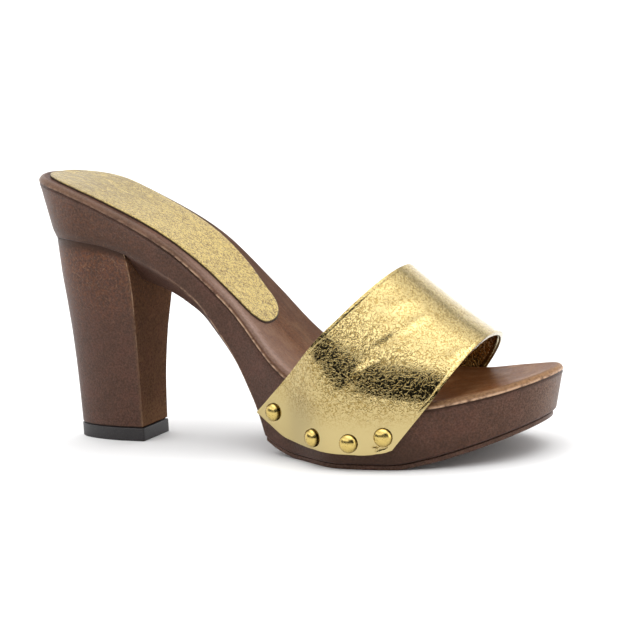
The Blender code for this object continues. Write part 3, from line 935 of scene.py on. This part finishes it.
def stamped_brass(colours):
    """Brass nail heads, stamped and tumbled.

    The eye gets a small bright dome with painted shade round its foot.
    """
    material, tree = new_material("stamped_brass")
    spot = node(tree, "TexCoord", out="Object")
    haze = node(tree, "TexNoise", {}, {"Vector": spot, "Scale": per_metre(1.2), "Detail": 3.0})
    gloss = node(tree, "MapRange", {}, {
        "Value": haze, "From Min": 0.3, "From Max": 0.7, "To Min": 0.2, "To Max": 0.3,
    })
    foot = node(tree, "Attribute", {"attribute_name": "foot"}, out="Fac")
    base = coats(tree, colours.brass, [
        Coat(colours.old_gold, haze, 0.5, 0.75, 0.0, 0.4, None),
        # Painted shade round the nail's foot
        Coat(colours.foot_shade, foot, 0.0, 1.0, 0.0, 1.0, None),
    ])
    shader = node(tree, "BsdfPrincipled", {}, {
        "Base Color": base, "Metallic": 1.0, "Roughness": gloss,
    })
    node(tree, "OutputMaterial", {}, {"Surface": shader})
    return material


def tip_rubber(colours):
    """Hard black heel rubber, moulded and sanded.

    The eye gets a dull near-black with a fine tooth and a little grey dust. The tooth of the
    real one is finer, and is drawn at 0.6 mm so that it shows.
    """
    material, tree = new_material("tip_rubber")
    spot = node(tree, "TexCoord", out="Object")
    tooth = node(tree, "TexNoise", {}, {"Vector": spot, "Scale": per_metre(0.6), "Detail": 3.0})
    base = coats(tree, colours.rubber, [
        Coat(colours.dust, tooth, 0.5, 0.8, 0.0, 0.25, None),
    ])
    normal = node(tree, "Bump", {}, {"Height": tooth, "Strength": 0.3, "Distance": 0.1 * MM})
    shader = node(tree, "BsdfPrincipled", {}, {
        "Base Color": base, "Roughness": 0.48, "Normal": normal,
    })
    node(tree, "OutputMaterial", {}, {"Surface": shader})
    return material


class MULE_OT_sole(bpy.types.Operator):
    """Model the sole: dished footbed, rounded rim, flash, side wall and bevelled waist."""

    bl_idname = "mule.sole"
    bl_label = "Sole"

    def execute(self, context):
        sizes = context.scene.mule_sizes
        dish, proud = sizes.bed_dish / MM, sizes.flash_proud / MM
        edge = outline(sole_stations(), outer_width, inner_width)

        def flash_depth(row):
            def depth(x):
                wave = 0.5 + noise.noise(Vector((x / FLASH_LENGTH, 0.0, 0.0)))
                return row.inset - row.proud * proud * wave
            return depth

        def finish(**shares):
            zones = dict(BARE)
            for name, share in shares.items():
                value = FINISH_CURVES[name]
                # The painted sheen on the footbed's border is fainter on the inner side
                inner = INNER_PAINTED_SHEEN if name == "margin" else 1.0
                zones[name] = [
                    share * value(point.x) * (inner if point.y > 0.0 else 1.0) for point in edge
                ]
            return zones

        def seat_round(x):
            return SEAT_ROUND * (1.0 - ramp(x, *SEAT_ROUND_END))

        # Painted shade on the inner side of the footbed
        def inner_shade(share):
            shades = []
            for point in edge:
                fade = 1.0 - ramp(point.x, *SHADE_END)
                shades.append(share * INNER_SHADE * fade if point.y > 0.0 else 0.0)
            return shades

        rings = []
        for row in RIM:
            points = lift(inset(edge, flash_depth(row)), lambda x, up=row.up: parting(x) + up)
            zones = finish(
                flash=row.flash, rim=row.rim, margin=row.margin, bed=row.bed,
                wear=row.rim * RIM_WEAR,
            )
            # Painted shade in the groove under the rim and on the inner footbed
            dark = []
            for point, shade in zip(edge, inner_shade(row.bed)):
                rise = SEAT_GROOVE + (1.0 - SEAT_GROOVE) * ramp(point.x, *GROOVE_RISE)
                dark.append(max(row.groove * rise, shade))
            rings.append((points, dict(zones, dark=dark)))
        inner = rings[0][0]
        middle = spine(inner)
        bed = []
        for part in BED_ROWS:
            points = moved(between(middle, inner, part), -dish * (1.0 - part * part))
            # The bed rows get painted sheen towards the border of the footbed and painted shade on
            # its inner side
            zones = finish(bed=1.0, margin=BED_PAINTED_SHEEN * part)
            bed.append((points, dict(zones, dark=inner_shade(part))))
        rings = bed + rings
        for part in WALL_ROWS:
            curl = ramp(part, *CURL) ** 2
            points = lift(
                inset(edge, lambda x: wall_lean(x) * part + curl * seat_round(x)),
                lambda x: parting(x) + (wall_foot(x) - parting(x)) * part,
            )
            # Painted shade towards the foot of the wall
            zones = finish(wear=1.0, warm=1.0, dark=ramp(part, *SHADE_FOOT))
            # At the waist the flash colour paints a highlight along the wall's lower edge
            pale = [FINISH_CURVES["edge"](point.x) * ramp(part, *HIGHLIGHT_FOOT) for point in edge]
            rings.append((points, dict(zones, flash=pale)))
        for part in BEVEL_ROWS:
            points = lift(
                inset(edge, lambda x: wall_lean(x) + bevel_in(x) * part + seat_round(x)),
                lambda x: wall_foot(x) - bevel_down(x) * part,
            )
            # The bevel under the wall is painted in shade
            rings.append((points, finish(dark=1.0)))
        last = rings[-1][0]
        fold = spine(last)
        for part in UNDER_ROWS:
            rings.append((between(fold, last, part), BARE))
        sole = loft("mule_sole", rings, smooth_angle=32.0)
        colours = context.scene.mule_colours
        hand_over(sole, moulded_polyurethane(colours), "sole", "sole")
        footbed = moulded_polyurethane(colours, "footbed_polyurethane", FOOTBED_SHEEN)
        sole.data.materials.append(footbed)
        bed = sole.data.attributes["bed"].data
        for face in sole.data.polygons:
            face.material_index = int(min(bed[i].value for i in face.vertices) > BED_LEAST)
        return {"FINISHED"}


def heel_plan(height, corner, proud=0.0):
    """D-shaped plan of the heel at one height, and the share of flash at each of its points."""
    back = HEEL_CURVES["back"](height) - proud
    widest = HEEL_CURVES["widest"](height)
    breast = HEEL_CURVES["breast"](height) + proud
    half = HEEL_CURVES["half_width"](height) + proud
    power = 2.0 / HEEL_CURVES["roundness"](height)
    side = []
    for i in range(HEEL_CORNER_STEPS + 1):
        angle = math.pi / 2.0 * i / HEEL_CORNER_STEPS
        x = breast - corner + corner * math.cos(angle)
        flash = 1.0 if 2 * i == HEEL_CORNER_STEPS else 0.0
        side.append((x, half - corner + corner * math.sin(angle), flash))
    for i in range(1, HEEL_FLAT_STEPS):
        start = breast - corner
        side.append((start + (widest - start) * i / HEEL_FLAT_STEPS, half, 0.0))
    for i in range(HEEL_ROUND_STEPS):
        angle = math.pi / 2.0 * (1.0 - i / HEEL_ROUND_STEPS)
        reach = (widest - back) * math.cos(angle) ** power
        side.append((widest - reach, half * math.sin(angle) ** power, 0.0))
    outer = [(x, HEEL_SIDE - y, flash) for x, y, flash in side]
    inner = [(x, HEEL_SIDE + y, flash) for x, y, flash in reversed(side)]
    face = half - corner
    front = []
    for i in range(1, HEEL_BREAST_STEPS):
        front.append((breast, HEEL_SIDE + face * (1.0 - 2.0 * i / HEEL_BREAST_STEPS), 0.0))
    ring = outer + [(back, HEEL_SIDE, 0.0)] + inner + front
    return [Vector(point[:2]) for point in ring], [point[2] for point in ring]


class MULE_OT_heel(bpy.types.Operator):
    """Model the heel block, flared towards the seat and set back under its ledge."""

    bl_idname = "mule.heel"
    bl_label = "Heel block"

    def execute(self, context):
        corner = context.scene.mule_sizes.heel_corner / MM
        rings = []

        def finish(plan, flash, dark, pale, warm):
            start, full = (plan[0].x - behind for behind in BREAST_EDGE)
            rim = [pale * ramp(point.x, start, full) for point in plan]
            return dict(BARE, flash=flash, dark=dark, rim=rim, warm=warm)

        step = (HEEL_TOP - HEEL_FOOT) / (HEEL_RINGS - 1)
        levels = [HEEL_FOOT + step * i for i in range(HEEL_RINGS)]
        levels[1:1] = [HEEL_FOOT + HEEL_JOINT, HEEL_FOOT + HEEL_JOINT + JOINT_STEP]
        for number, z in enumerate(levels):
            # The two rings at the joint with the tip are set in and painted in shade
            joint = float(number < 2)
            plan, corners = heel_plan(z, corner, -JOINT_DEEP * joint)
            bare = EDGE_FLASH + (1.0 - EDGE_FLASH) * ramp(z, *EDGE_FLASH_RISE)
            pale = BREAST_PALE + BREAST_SCUFF * (1.0 - ramp(z, *SCUFF_END))
            warm = HEEL_WARM + HEEL_WARMER * ramp(z, WARM_START, HEEL_TOP)
            zones = finish(plan, [share * bare for share in corners], joint, pale, warm)
            rings.append((lift(plan, lambda x: z), zones))
        low = rings[-1][0]
        for part in COVE_ROWS:
            # The cove under the seat's ledge is painted in shade, deepest at its top
            cove = ramp(part, COVE_START, 1.0)
            plan, corners = heel_plan(HEEL[-1].height, corner)
            deep, _ = heel_plan(HEEL[-1].height, corner, -HEEL_COVE * cove)
            plan = [a.lerp(b, ramp(a.x, *COVE_SIDES)) for a, b in zip(plan, deep)]
            top = lift(plan, lambda x: under(min(x, BREAST_X)) - HEEL_SUNK)
            zones = finish(plan, corners, COVE_SHADE * cove, BREAST_PALE, COVE_WARM * (1.0 - cove))
            rings.append((between(low, top, part), zones))
        heel = loft("mule_heel", rings, smooth_angle=50.0, capped=True)
        colours = context.scene.mule_colours
        hand_over(heel, moulded_polyurethane(colours), "heel", "heel")
        # The breast faces get a copy of the finish with no shine, which paints them as in shade
        breast = moulded_polyurethane(colours, "shaded_breast_polyurethane", sheen=0.0)
        heel.data.materials.append(breast)
        for face in heel.data.polygons:
            face.material_index = int(face.normal.x > BREAST_FACING)
        return {"FINISHED"}


class MULE_OT_top_piece(bpy.types.Operator):
    """Model the rubber tip under the heel, with its edges rounded."""

    bl_idname = "mule.top_piece"
    bl_label = "Heel tip"

    def execute(self, context):
        corner = context.scene.mule_sizes.heel_corner / MM
        plan, _ = heel_plan(HEEL[0].height, corner, TIP_PROUD)
        rings = [(lift(plan, lambda x: z), {}) for z in (0.0, TIP_HIGH)]
        tip = loft("mule_top_piece", rings, smooth_angle=40.0, capped=True)
        round_edges(tip, "worn edges", TIP_ROUND, least_turn=60.0)
        apply_modifiers(tip)
        return hand_over(tip, tip_rubber(context.scene.mule_colours), "top_piece", "top_piece")


class MULE_OT_outsole(bpy.types.Operator):
    """Model the thin sheet under the forefoot, set in from the platform's edge."""

    bl_idname = "mule.outsole"
    bl_label = "Outsole"

    def execute(self, context):
        places = [x for x in sole_stations() if x >= TREAD_REAR]
        forward = [Vector((x, -outer_width(x))) for x in places]
        backward = [Vector((x, inner_width(x))) for x in reversed(places[:-1])]
        whole = forward + backward

        def ring(more, up):
            edge = inset(whole, lambda x: wall_lean(x) + EDGE_IN + OUTSOLE_INSET + more)
            edge[0].x = TREAD_REAR
            edge[-1].x = TREAD_REAR
            return lift(edge, lambda x: tread(x) + up)

        soft, midway = OUTSOLE_ROUND, OUTSOLE_ROUND * OUTSOLE_MIDWAY
        rows = [
            ring(soft, 0.0), ring(midway, midway), ring(0.0, soft),
            ring(0.0, OUTSOLE_THICK - soft), ring(soft, OUTSOLE_THICK),
        ]
        rows.insert(0, spine(rows[0], 1))
        rows.append(spine(rows[-1], 1))
        rings = [(points, dict(BARE, wear=OUTSOLE_WEAR)) for points in rows]
        sheet = loft("mule_outsole", rings, smooth_angle=40.0)
        finish = moulded_polyurethane(context.scene.mule_colours)
        return hand_over(sheet, finish, "outsole", "outsole")


def strap_half(row, side):
    """One half of a line across the strap, from its lower edge up to the crown."""
    name = "outer" if side < 0 else "inner"
    foot_x, foot_z, leave_x = row[name + "_foot_x"], row[name + "_foot_z"], row[name + "_x"]
    leave_z = parting(leave_x)
    points = []
    for i in range(STRAP_WALL_STEPS):
        t = i / STRAP_WALL_STEPS
        x = foot_x + (leave_x - foot_x) * t
        z = foot_z + (leave_z - foot_z) * t
        points.append(Vector((x, side * (wall_side(x, z, side) + STRAP_GAP), z)))
    power = 2.0 / row[name + "_fullness"]
    for i in range(STRAP_ARCH_STEPS):
        angle = math.pi / 2.0 * i / STRAP_ARCH_STEPS
        rise = math.sin(angle) ** power
        x = leave_x + (row["crown_x"] - leave_x) * rise ** row[name + "_sweep"]
        z = leave_z + (row["crown_z"] - leave_z) * rise
        reach = side * (wall_side(x, parting(x), side) + STRAP_GAP) - STRAP_CROWN_Y
        points.append(Vector((x, STRAP_CROWN_Y + reach * math.cos(angle) ** power, z)))
    return points


def evenly(points, count):
    """The line through the points again, as evenly spaced points, and its length."""
    runs = [0.0]
    for a, b in zip(points, points[1:]):
        runs.append(runs[-1] + (b - a).length)
    spaced = []
    for i in range(count + 1):
        run = runs[-1] * i / count
        j = min(max(bisect_right(runs, run) - 1, 0), len(points) - 2)
        spaced.append(points[j].lerp(points[j + 1], (run - runs[j]) / (runs[j + 1] - runs[j])))
    return spaced, runs[-1]


def strap_places():
    """Places along the strap, crowded at its rear and front edges."""
    near = [distance / STRAP_MEAN_LENGTH for distance in STRAP_EDGE_LINES]
    first, last = near[-1], 1.0 - near[-1]
    step = (last - first) / STRAP_MIDDLE_LINES
    middle = [first + step * i for i in range(1, STRAP_MIDDLE_LINES)]
    return near + middle + [1.0 - part for part in reversed(near)]


def nail_seat(nail):
    """Point on the side wall under a nail, and the way its head faces."""
    step = 1.0
    ahead = wall_side(nail.x + step, nail.z, nail.side)
    behind = wall_side(nail.x - step, nail.z, nail.side)
    outward = Vector((-(ahead - behind) / (2.0 * step), nail.side, 0.0)).normalized()
    return Vector((nail.x, nail.side * wall_side(nail.x, nail.z, nail.side), nail.z)), outward


def crease_share(crease, along, run, length):
    """How much of a crease there is at a place on the strap, from 0 to 1."""
    start = Vector((crease.along * length, crease.run))
    way = Vector((crease.along_end * length, crease.run_end)) - start
    spot = Vector((along * length, run)) - start
    part = spot.dot(way) / way.length_squared
    aside = (spot - way * min(max(part, 0.0), 1.0)).length / crease.width
    fade = ramp(part, *CREASE_START) * (1.0 - ramp(part, *CREASE_END))
    return math.exp(-aside * aside) * fade


def strap_relief(point, from_edge, fold_width, fold_depth):
    """How far the leather stands out at a point, in millimetres."""
    fold = 1.0 - ramp(from_edge, fold_width - FOLD_SOFT, fold_width + FOLD_SOFT)
    groove = math.exp(-((from_edge - fold_width - GROOVE_AWAY) / GROOVE_WIDE) ** 2)
    up = (fold - groove * GROOVE_DEEP) * fold_depth
    for nail in NAILS:
        seat, _ = nail_seat(nail)
        distance = (point - seat).length
        up -= DIMPLE_DEPTH * (1.0 - ramp(distance, 0.0, DIMPLE_RADIUS))
    return up


class MULE_OT_upper(bpy.types.Operator):
    """Model the strap as one sheet of leather with turned edges, then give it its wall."""

    bl_idname = "mule.upper"
    bl_label = "Strap"

    def execute(self, context):
        sizes = context.scene.mule_sizes
        places = strap_places()
        lines, lengths = [], []
        for along in places:
            row = {name: value(along) for name, value in STRAP_CURVES.items()}
            crown = Vector((row["crown_x"], STRAP_CROWN_Y, row["crown_z"]))
            dense = strap_half(row, -1) + [crown] + strap_half(row, 1)[::-1]
            spaced, length = evenly(dense, STRAP_ACROSS)
            lines.append(spaced)
            lengths.append(length)
        runs = []
        for j in range(STRAP_ACROSS + 1):
            runs.append(sum((b[j] - a[j]).length for a, b in zip(lines, lines[1:])))
        spots, crinkles, linings = {}, {}, {}
        last = len(places) - 1
        for i, along in enumerate(places):
            for j in range(STRAP_ACROSS + 1):
                point = lines[i][j]
                forward = lines[min(i + 1, last)][j] - lines[max(i - 1, 0)][j]
                inward = lines[i][min(j + 1, STRAP_ACROSS)] - lines[i][max(j - 1, 0)]
                out = forward.cross(inward).normalized()
                from_edge = min(along, 1.0 - along) * runs[j]
                run = min(j, STRAP_ACROSS - j) / STRAP_ACROSS * lengths[i]
                stand = REAR_FOLD if along < 0.5 else ramp(run, *FRONT_FOLD)
                step = sizes.fold_depth / MM * stand
                up = strap_relief(point, from_edge, sizes.fold_width / MM, step)
                wrinkle = ramp(run, *CRINKLED)
                for crease in CREASES:
                    outer = crease.run + crease.run_end > 0.0
                    from_foot = j / STRAP_ACROSS * lengths[i]
                    signed = from_foot if outer else from_foot - lengths[i]
                    share = crease_share(crease, along, signed, runs[j])
                    up += crease.height * share
                    wrinkle += crease.wrinkle * share
                spots[i, j] = place(*(point + out * up))
                linings[i, j] = float(from_edge > TURNED_IN)
                crinkles[i, j] = wrinkle
        strap = start_form(
            "mule_upper", bpy.ops.mesh.primitive_grid_add, x_subdivisions=last,
            y_subdivisions=STRAP_ACROSS, size=2.0,
        )
        form = bmesh.from_edit_mesh(strap.data)
        form.verts.layers.float.new("crinkle")
        form.verts.layers.float.new("lined")
        crinkle, lined = (form.verts.layers.float[name] for name in ("crinkle", "lined"))
        for vert in form.verts:
            i = round((vert.co.x + 1.0) / 2.0 * last)
            key = i, round((vert.co.y + 1.0) / 2.0 * STRAP_ACROSS)
            vert[crinkle] = crinkles[key]
            vert[lined] = linings[key]
            vert.co = spots[key]
        form.normal_update()
        crown = max(form.faces, key=lambda face: face.calc_center_median().z)
        if crown.normal.z < 0.0:
            bpy.ops.mesh.flip_normals()
        bmesh.update_edit_mesh(strap.data)
        close_form(strap, smooth_angle=60.0, merge=False)
        wall = strap.modifiers.new("leather", "SOLIDIFY")
        wall.thickness = sizes.strap_wall
        wall.offset = 1.0
        wall.use_even_offset = True
        round_edges(strap, "turned edge", STRAP_EDGE_ROUND, least_turn=55.0)
        apply_modifiers(strap)
        colours = context.scene.mule_colours
        hand_over(strap, foil_leather(colours), "upper", "upper")
        strap.data.materials.append(lining_leather(colours))
        lined = strap.data.attributes["lined"].data
        for face in strap.data.polygons:
            axis = place(face.center.x / MM + MIDDLE_X, STRAP_CROWN_Y, 0.0)
            axis.z = parting(face.center.x / MM + MIDDLE_X) * MM
            inside = (axis - face.center).normalized()
            hidden = face.normal.dot(inside) > LINING_FACING
            face.material_index = int(hidden and min(lined[i].value for i in face.vertices) > 0.5)
        return {"FINISHED"}


class MULE_OT_sock(bpy.types.Operator):
    """Model the heel pad, laid into the dish of the footbed."""

    bl_idname = "mule.sock"
    bl_label = "Heel pad"

    def execute(self, context):
        sizes = context.scene.mule_sizes
        dish, thick = sizes.bed_dish / MM, sizes.sock_thick / MM
        start = SOCK_FRONT - SOCK_TOE_ROUND

        def rounded(width, tip):
            def value(x):
                if x < HEEL_ROUND:
                    part = (HEEL_ROUND - x) / (HEEL_ROUND - SOCK_BACK)
                    return width(HEEL_ROUND) * quarter(part, 2.0)
                part = (x - start) / SOCK_TOE_ROUND
                return (width(x) - tip) * quarter(part, SOCK_TOE_FULLNESS) + tip
            return value

        def laid(plan, up):
            points = []
            for spot in plan:
                width = outer_width(spot.x) if spot.y < 0.0 else inner_width(spot.x)
                part = min(abs(spot.y) / max(width - RIM[0].inset, 1.0), 1.0)
                level = parting(spot.x) + RIM[0].up - dish * (1.0 - part * part)
                points.append(place(spot.x, spot.y, level + up))
            return points

        places = stations(SOCK_BACK, SOCK_FRONT, SOCK_STATIONS)
        outer, inner = rounded(sock_outer, SOCK_TOE_SIDE), rounded(sock_inner, -SOCK_TOE_SIDE)
        edge = outline(places, outer, inner)
        middle = spine(edge)
        # Share of the greyer back of the pad: rubbed wear and painted shade
        worn = [1.0 - ramp(point.x, *PAD_WORN_AND_SHADED) for point in edge]
        rings = []
        for part in SOCK_ROWS:
            rings.append((laid(between(middle, edge, part), thick), {"cut": 0.0, "worn": worn}))
        for depth, down, cut in PAD_EDGE:
            points = laid(inset(edge, lambda x: depth), thick - down)
            rings.append((points, {"cut": cut, "worn": worn}))
        for ring in (edge, middle):
            rings.append((laid(ring, PAD_SUNK), {"cut": 1.0, "worn": worn}))
        sock = loft("mule_sock", rings, smooth_angle=50.0)
        return hand_over(sock, pad_leather(context.scene.mule_colours), "sock", "sock")


class MULE_OT_studs(bpy.types.Operator):
    """Model one dome-headed nail and set a copy of it at each place along the strap."""

    bl_idname = "mule.studs"
    bl_label = "Studs"

    def execute(self, context):
        sizes = context.scene.mule_sizes
        radius, high = sizes.stud_radius, sizes.stud_high
        first = start_form(
            NAILS[0].name + "_dome", bpy.ops.mesh.primitive_uv_sphere_add,
            segments=40, ring_count=24, radius=radius,
        )
        bpy.ops.mesh.bisect(
            plane_co=(0.0, 0.0, 0.0), plane_no=(0.0, 0.0, 1.0), clear_inner=True, use_fill=False
        )
        bpy.ops.mesh.select_all(action="SELECT")
        bpy.ops.transform.resize(value=(1.0, 1.0, high / radius), center_override=(0.0, 0.0, 0.0))
        form = bmesh.from_edit_mesh(first.data)
        for edge in form.edges:
            edge.select = edge.is_boundary
        form.select_flush(False)
        bmesh.update_edit_mesh(first.data)
        for row in STUD_NECK:
            bpy.ops.mesh.extrude_region()
            bpy.ops.transform.translate(value=(0.0, 0.0, -row.down * MM))
            bpy.ops.transform.resize(
                value=(row.width, row.width, 1.0), center_override=(0.0, 0.0, 0.0)
            )
        bpy.ops.mesh.edge_face_add()
        form = bmesh.from_edit_mesh(first.data)
        # Share of painted shade at each point, full at the nail's foot
        foot = form.verts.layers.float.new("foot")
        for vert in form.verts:
            vert[foot] = 1.0 - ramp(vert.co.z / MM, *STUD_FOOT)
        bmesh.update_edit_mesh(first.data)
        close_form(first, smooth_angle=40.0)
        finish = stamped_brass(context.scene.mule_colours)
        for nail in NAILS:
            seat, outward = nail_seat(nail)
            stud = first.copy()
            stud.data = first.data.copy()
            stud.name = "mule_" + nail.name
            stud.data.name = stud.name
            context.collection.objects.link(stud)
            head = place(*(seat + outward * NAIL_STAND))
            turn = outward.to_track_quat("Z", "Y").to_matrix().to_4x4()
            stud.matrix_world = Matrix.Translation(head) @ turn
            bpy.ops.object.select_all(action="DESELECT")
            stud.select_set(True)
            context.view_layer.objects.active = stud
            bpy.ops.object.transform_apply(location=True, rotation=True, scale=True)
            hand_over(stud, finish, "stud", nail.name)
        bpy.data.objects.remove(first, do_unlink=True)
        return {"FINISHED"}


def studio_camera(studio, side):
    """Camera on one side of the shoe, with its target in the middle of the picture."""
    right = Vector((math.cos(studio.azimuth), math.sin(studio.azimuth), 0.0))
    back = side * math.cos(studio.elevation)
    back.z = math.sin(studio.elevation)
    above = back.cross(right)
    across = right * math.cos(studio.roll) + above * math.sin(studio.roll)
    above = above * math.cos(studio.roll) - right * math.sin(studio.roll)
    data = bpy.data.cameras.new("studio_camera")
    data.lens = studio.lens
    data.sensor_width = SENSOR
    data.clip_start = NEAREST
    data.clip_end = FURTHEST
    camera = bpy.data.objects.new("studio_camera", data)
    bpy.context.scene.collection.objects.link(camera)
    spot = Vector(studio.target) + back * studio.distance
    turn = Matrix((across, above, back)).transposed().to_4x4()
    camera.matrix_world = Matrix.Translation(spot) @ turn
    return camera


def studio_light(studio, side):
    """Soft light all round, bright above the camera, with a dark room on the outer side."""
    world = bpy.data.worlds.new("studio")
    world.use_nodes = True
    tree = world.node_tree
    tree.nodes.clear()
    way = node(tree, "TexCoord", out="Generated")
    high = node(tree, "SeparateXYZ", {}, {"Vector": way}, "Z")
    facing = node(tree, "VectorMath", DOT, {0: way, 1: side}, "Value")
    step = {"interpolation_type": "SMOOTHSTEP"}
    level = node(tree, "VectorMath", TIMES, {0: way, 1: (1.0, 1.0, 0.0)})
    level = node(tree, "VectorMath", {"operation": "NORMALIZE"}, {0: level})
    corner = Vector(ROOM_CORNER).normalized()
    turned = node(tree, "VectorMath", DOT, {0: level, 1: corner}, "Value")
    rise = node(tree, "MapRange", {}, dict(ROOM_RISE, Value=turned))
    over = node(tree, "Math", {"operation": "SUBTRACT"}, {0: high, 1: rise})
    under_top = node(tree, "MapRange", step, dict(ROOM_TOP, Value=over))
    above_floor = node(tree, "MapRange", step, dict(ROOM_FOOT, Value=high))
    middle = Vector(ROOM_MIDDLE).normalized()
    front = node(tree, "VectorMath", DOT, {0: level, 1: middle}, "Value")
    front = node(tree, "MapRange", step, dict(ROOM_SIDES, Value=front))
    room = node(tree, "Math", TIMES, {0: under_top, 1: above_floor})
    room = node(tree, "Math", TIMES, {0: room, 1: front})
    ahead = node(tree, "MapRange", step, dict(SKY_SIDES, Value=facing))
    upward = node(tree, "MapRange", step, dict(SKY_TOP, Value=high))
    ahead = node(tree, "Math", {"operation": "MAXIMUM"}, {0: ahead, 1: upward})
    sky = node(tree, "Mix", {"data_type": "FLOAT"}, {0: ahead, 2: studio.wall, 3: studio.sky})
    horizon = node(tree, "MapRange", step, dict(HORIZON, Value=high))
    sky = node(tree, "Math", {"operation": "MAXIMUM"}, {0: sky, 1: horizon})
    glow = {"Value": over, "To Min": studio.glow}
    glow = node(tree, "MapRange", step, dict(GLOW_REACH, **glow))
    sky = node(tree, "Math", {"operation": "ADD"}, {0: sky, 1: glow})
    lamp = {"Value": high, "To Max": studio.lamp}
    lamp = node(tree, "MapRange", step, dict(LAMP_REACH, **lamp))
    sky = node(tree, "Math", {"operation": "ADD"}, {0: sky, 1: lamp})
    strength = node(tree, "Mix", {"data_type": "FLOAT"}, {0: room, 2: sky, 3: studio.dusk})
    light = node(tree, "Background", {}, {"Color": (1.0, 1.0, 1.0, 1.0), "Strength": strength})
    node(tree, "OutputWorld", {}, {"Surface": light})
    return world


class MULE_OT_stage(bpy.types.Operator):
    """Set the pale floor, the soft studio light and the camera."""

    bl_idname = "mule.stage"
    bl_label = "Studio"

    def execute(self, context):
        scene = context.scene
        studio = scene.mule_studio
        floor = start_form("studio_floor", bpy.ops.mesh.primitive_plane_add, size=FLOOR_SIZE)
        bpy.ops.object.mode_set(mode="OBJECT")
        material, tree = new_material("pale_paper")
        shader = node(tree, "BsdfPrincipled", {}, {
            "Base Color": scene.mule_colours.floor, "Roughness": 0.9,
        })
        node(tree, "OutputMaterial", {}, {"Surface": shader})
        floor.data.materials.append(material)

        side = Vector((math.sin(studio.azimuth), -math.cos(studio.azimuth), 0.0))
        scene.camera = studio_camera(studio, side)
        scene.world = studio_light(studio, side)
        scene.view_settings.view_transform = "Standard"
        return {"FINISHED"}


PIECES = (
    MULE_OT_sole, MULE_OT_heel, MULE_OT_top_piece, MULE_OT_outsole,
    MULE_OT_upper, MULE_OT_sock, MULE_OT_studs, MULE_OT_stage,
)
GROUPS = {"mule_sizes": MuleSizes, "mule_colours": MuleColours, "mule_studio": MuleStudio}


class MULE_PT_pieces(bpy.types.Panel):
    """Lists the pieces of the mule and the studio."""

    bl_label = "Heeled mule"
    bl_space_type = "VIEW_3D"
    bl_region_type = "UI"
    bl_category = "Mule"

    def draw(self, context):
        for piece in PIECES:
            self.layout.operator(piece.bl_idname)


CLASSES = tuple(GROUPS.values()) + PIECES + (MULE_PT_pieces,)


def register():
    """Make the classes and the settings known to Blender."""
    for kind in CLASSES:
        bpy.utils.register_class(kind)
    for name, group in GROUPS.items():
        setattr(bpy.types.Scene, name, PointerProperty(type=group))


def unregister():
    """Take the settings and the classes out again."""
    for name in GROUPS:
        delattr(bpy.types.Scene, name)
    for kind in reversed(CLASSES):
        bpy.utils.unregister_class(kind)


def main():
    """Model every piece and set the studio."""
    register()
    bpy.ops.mule.sole()
    bpy.ops.mule.heel()
    bpy.ops.mule.top_piece()
    bpy.ops.mule.outsole()
    bpy.ops.mule.upper()
    bpy.ops.mule.sock()
    bpy.ops.mule.studs()
    bpy.ops.mule.stage()


if __name__ == "__main__":
    main()
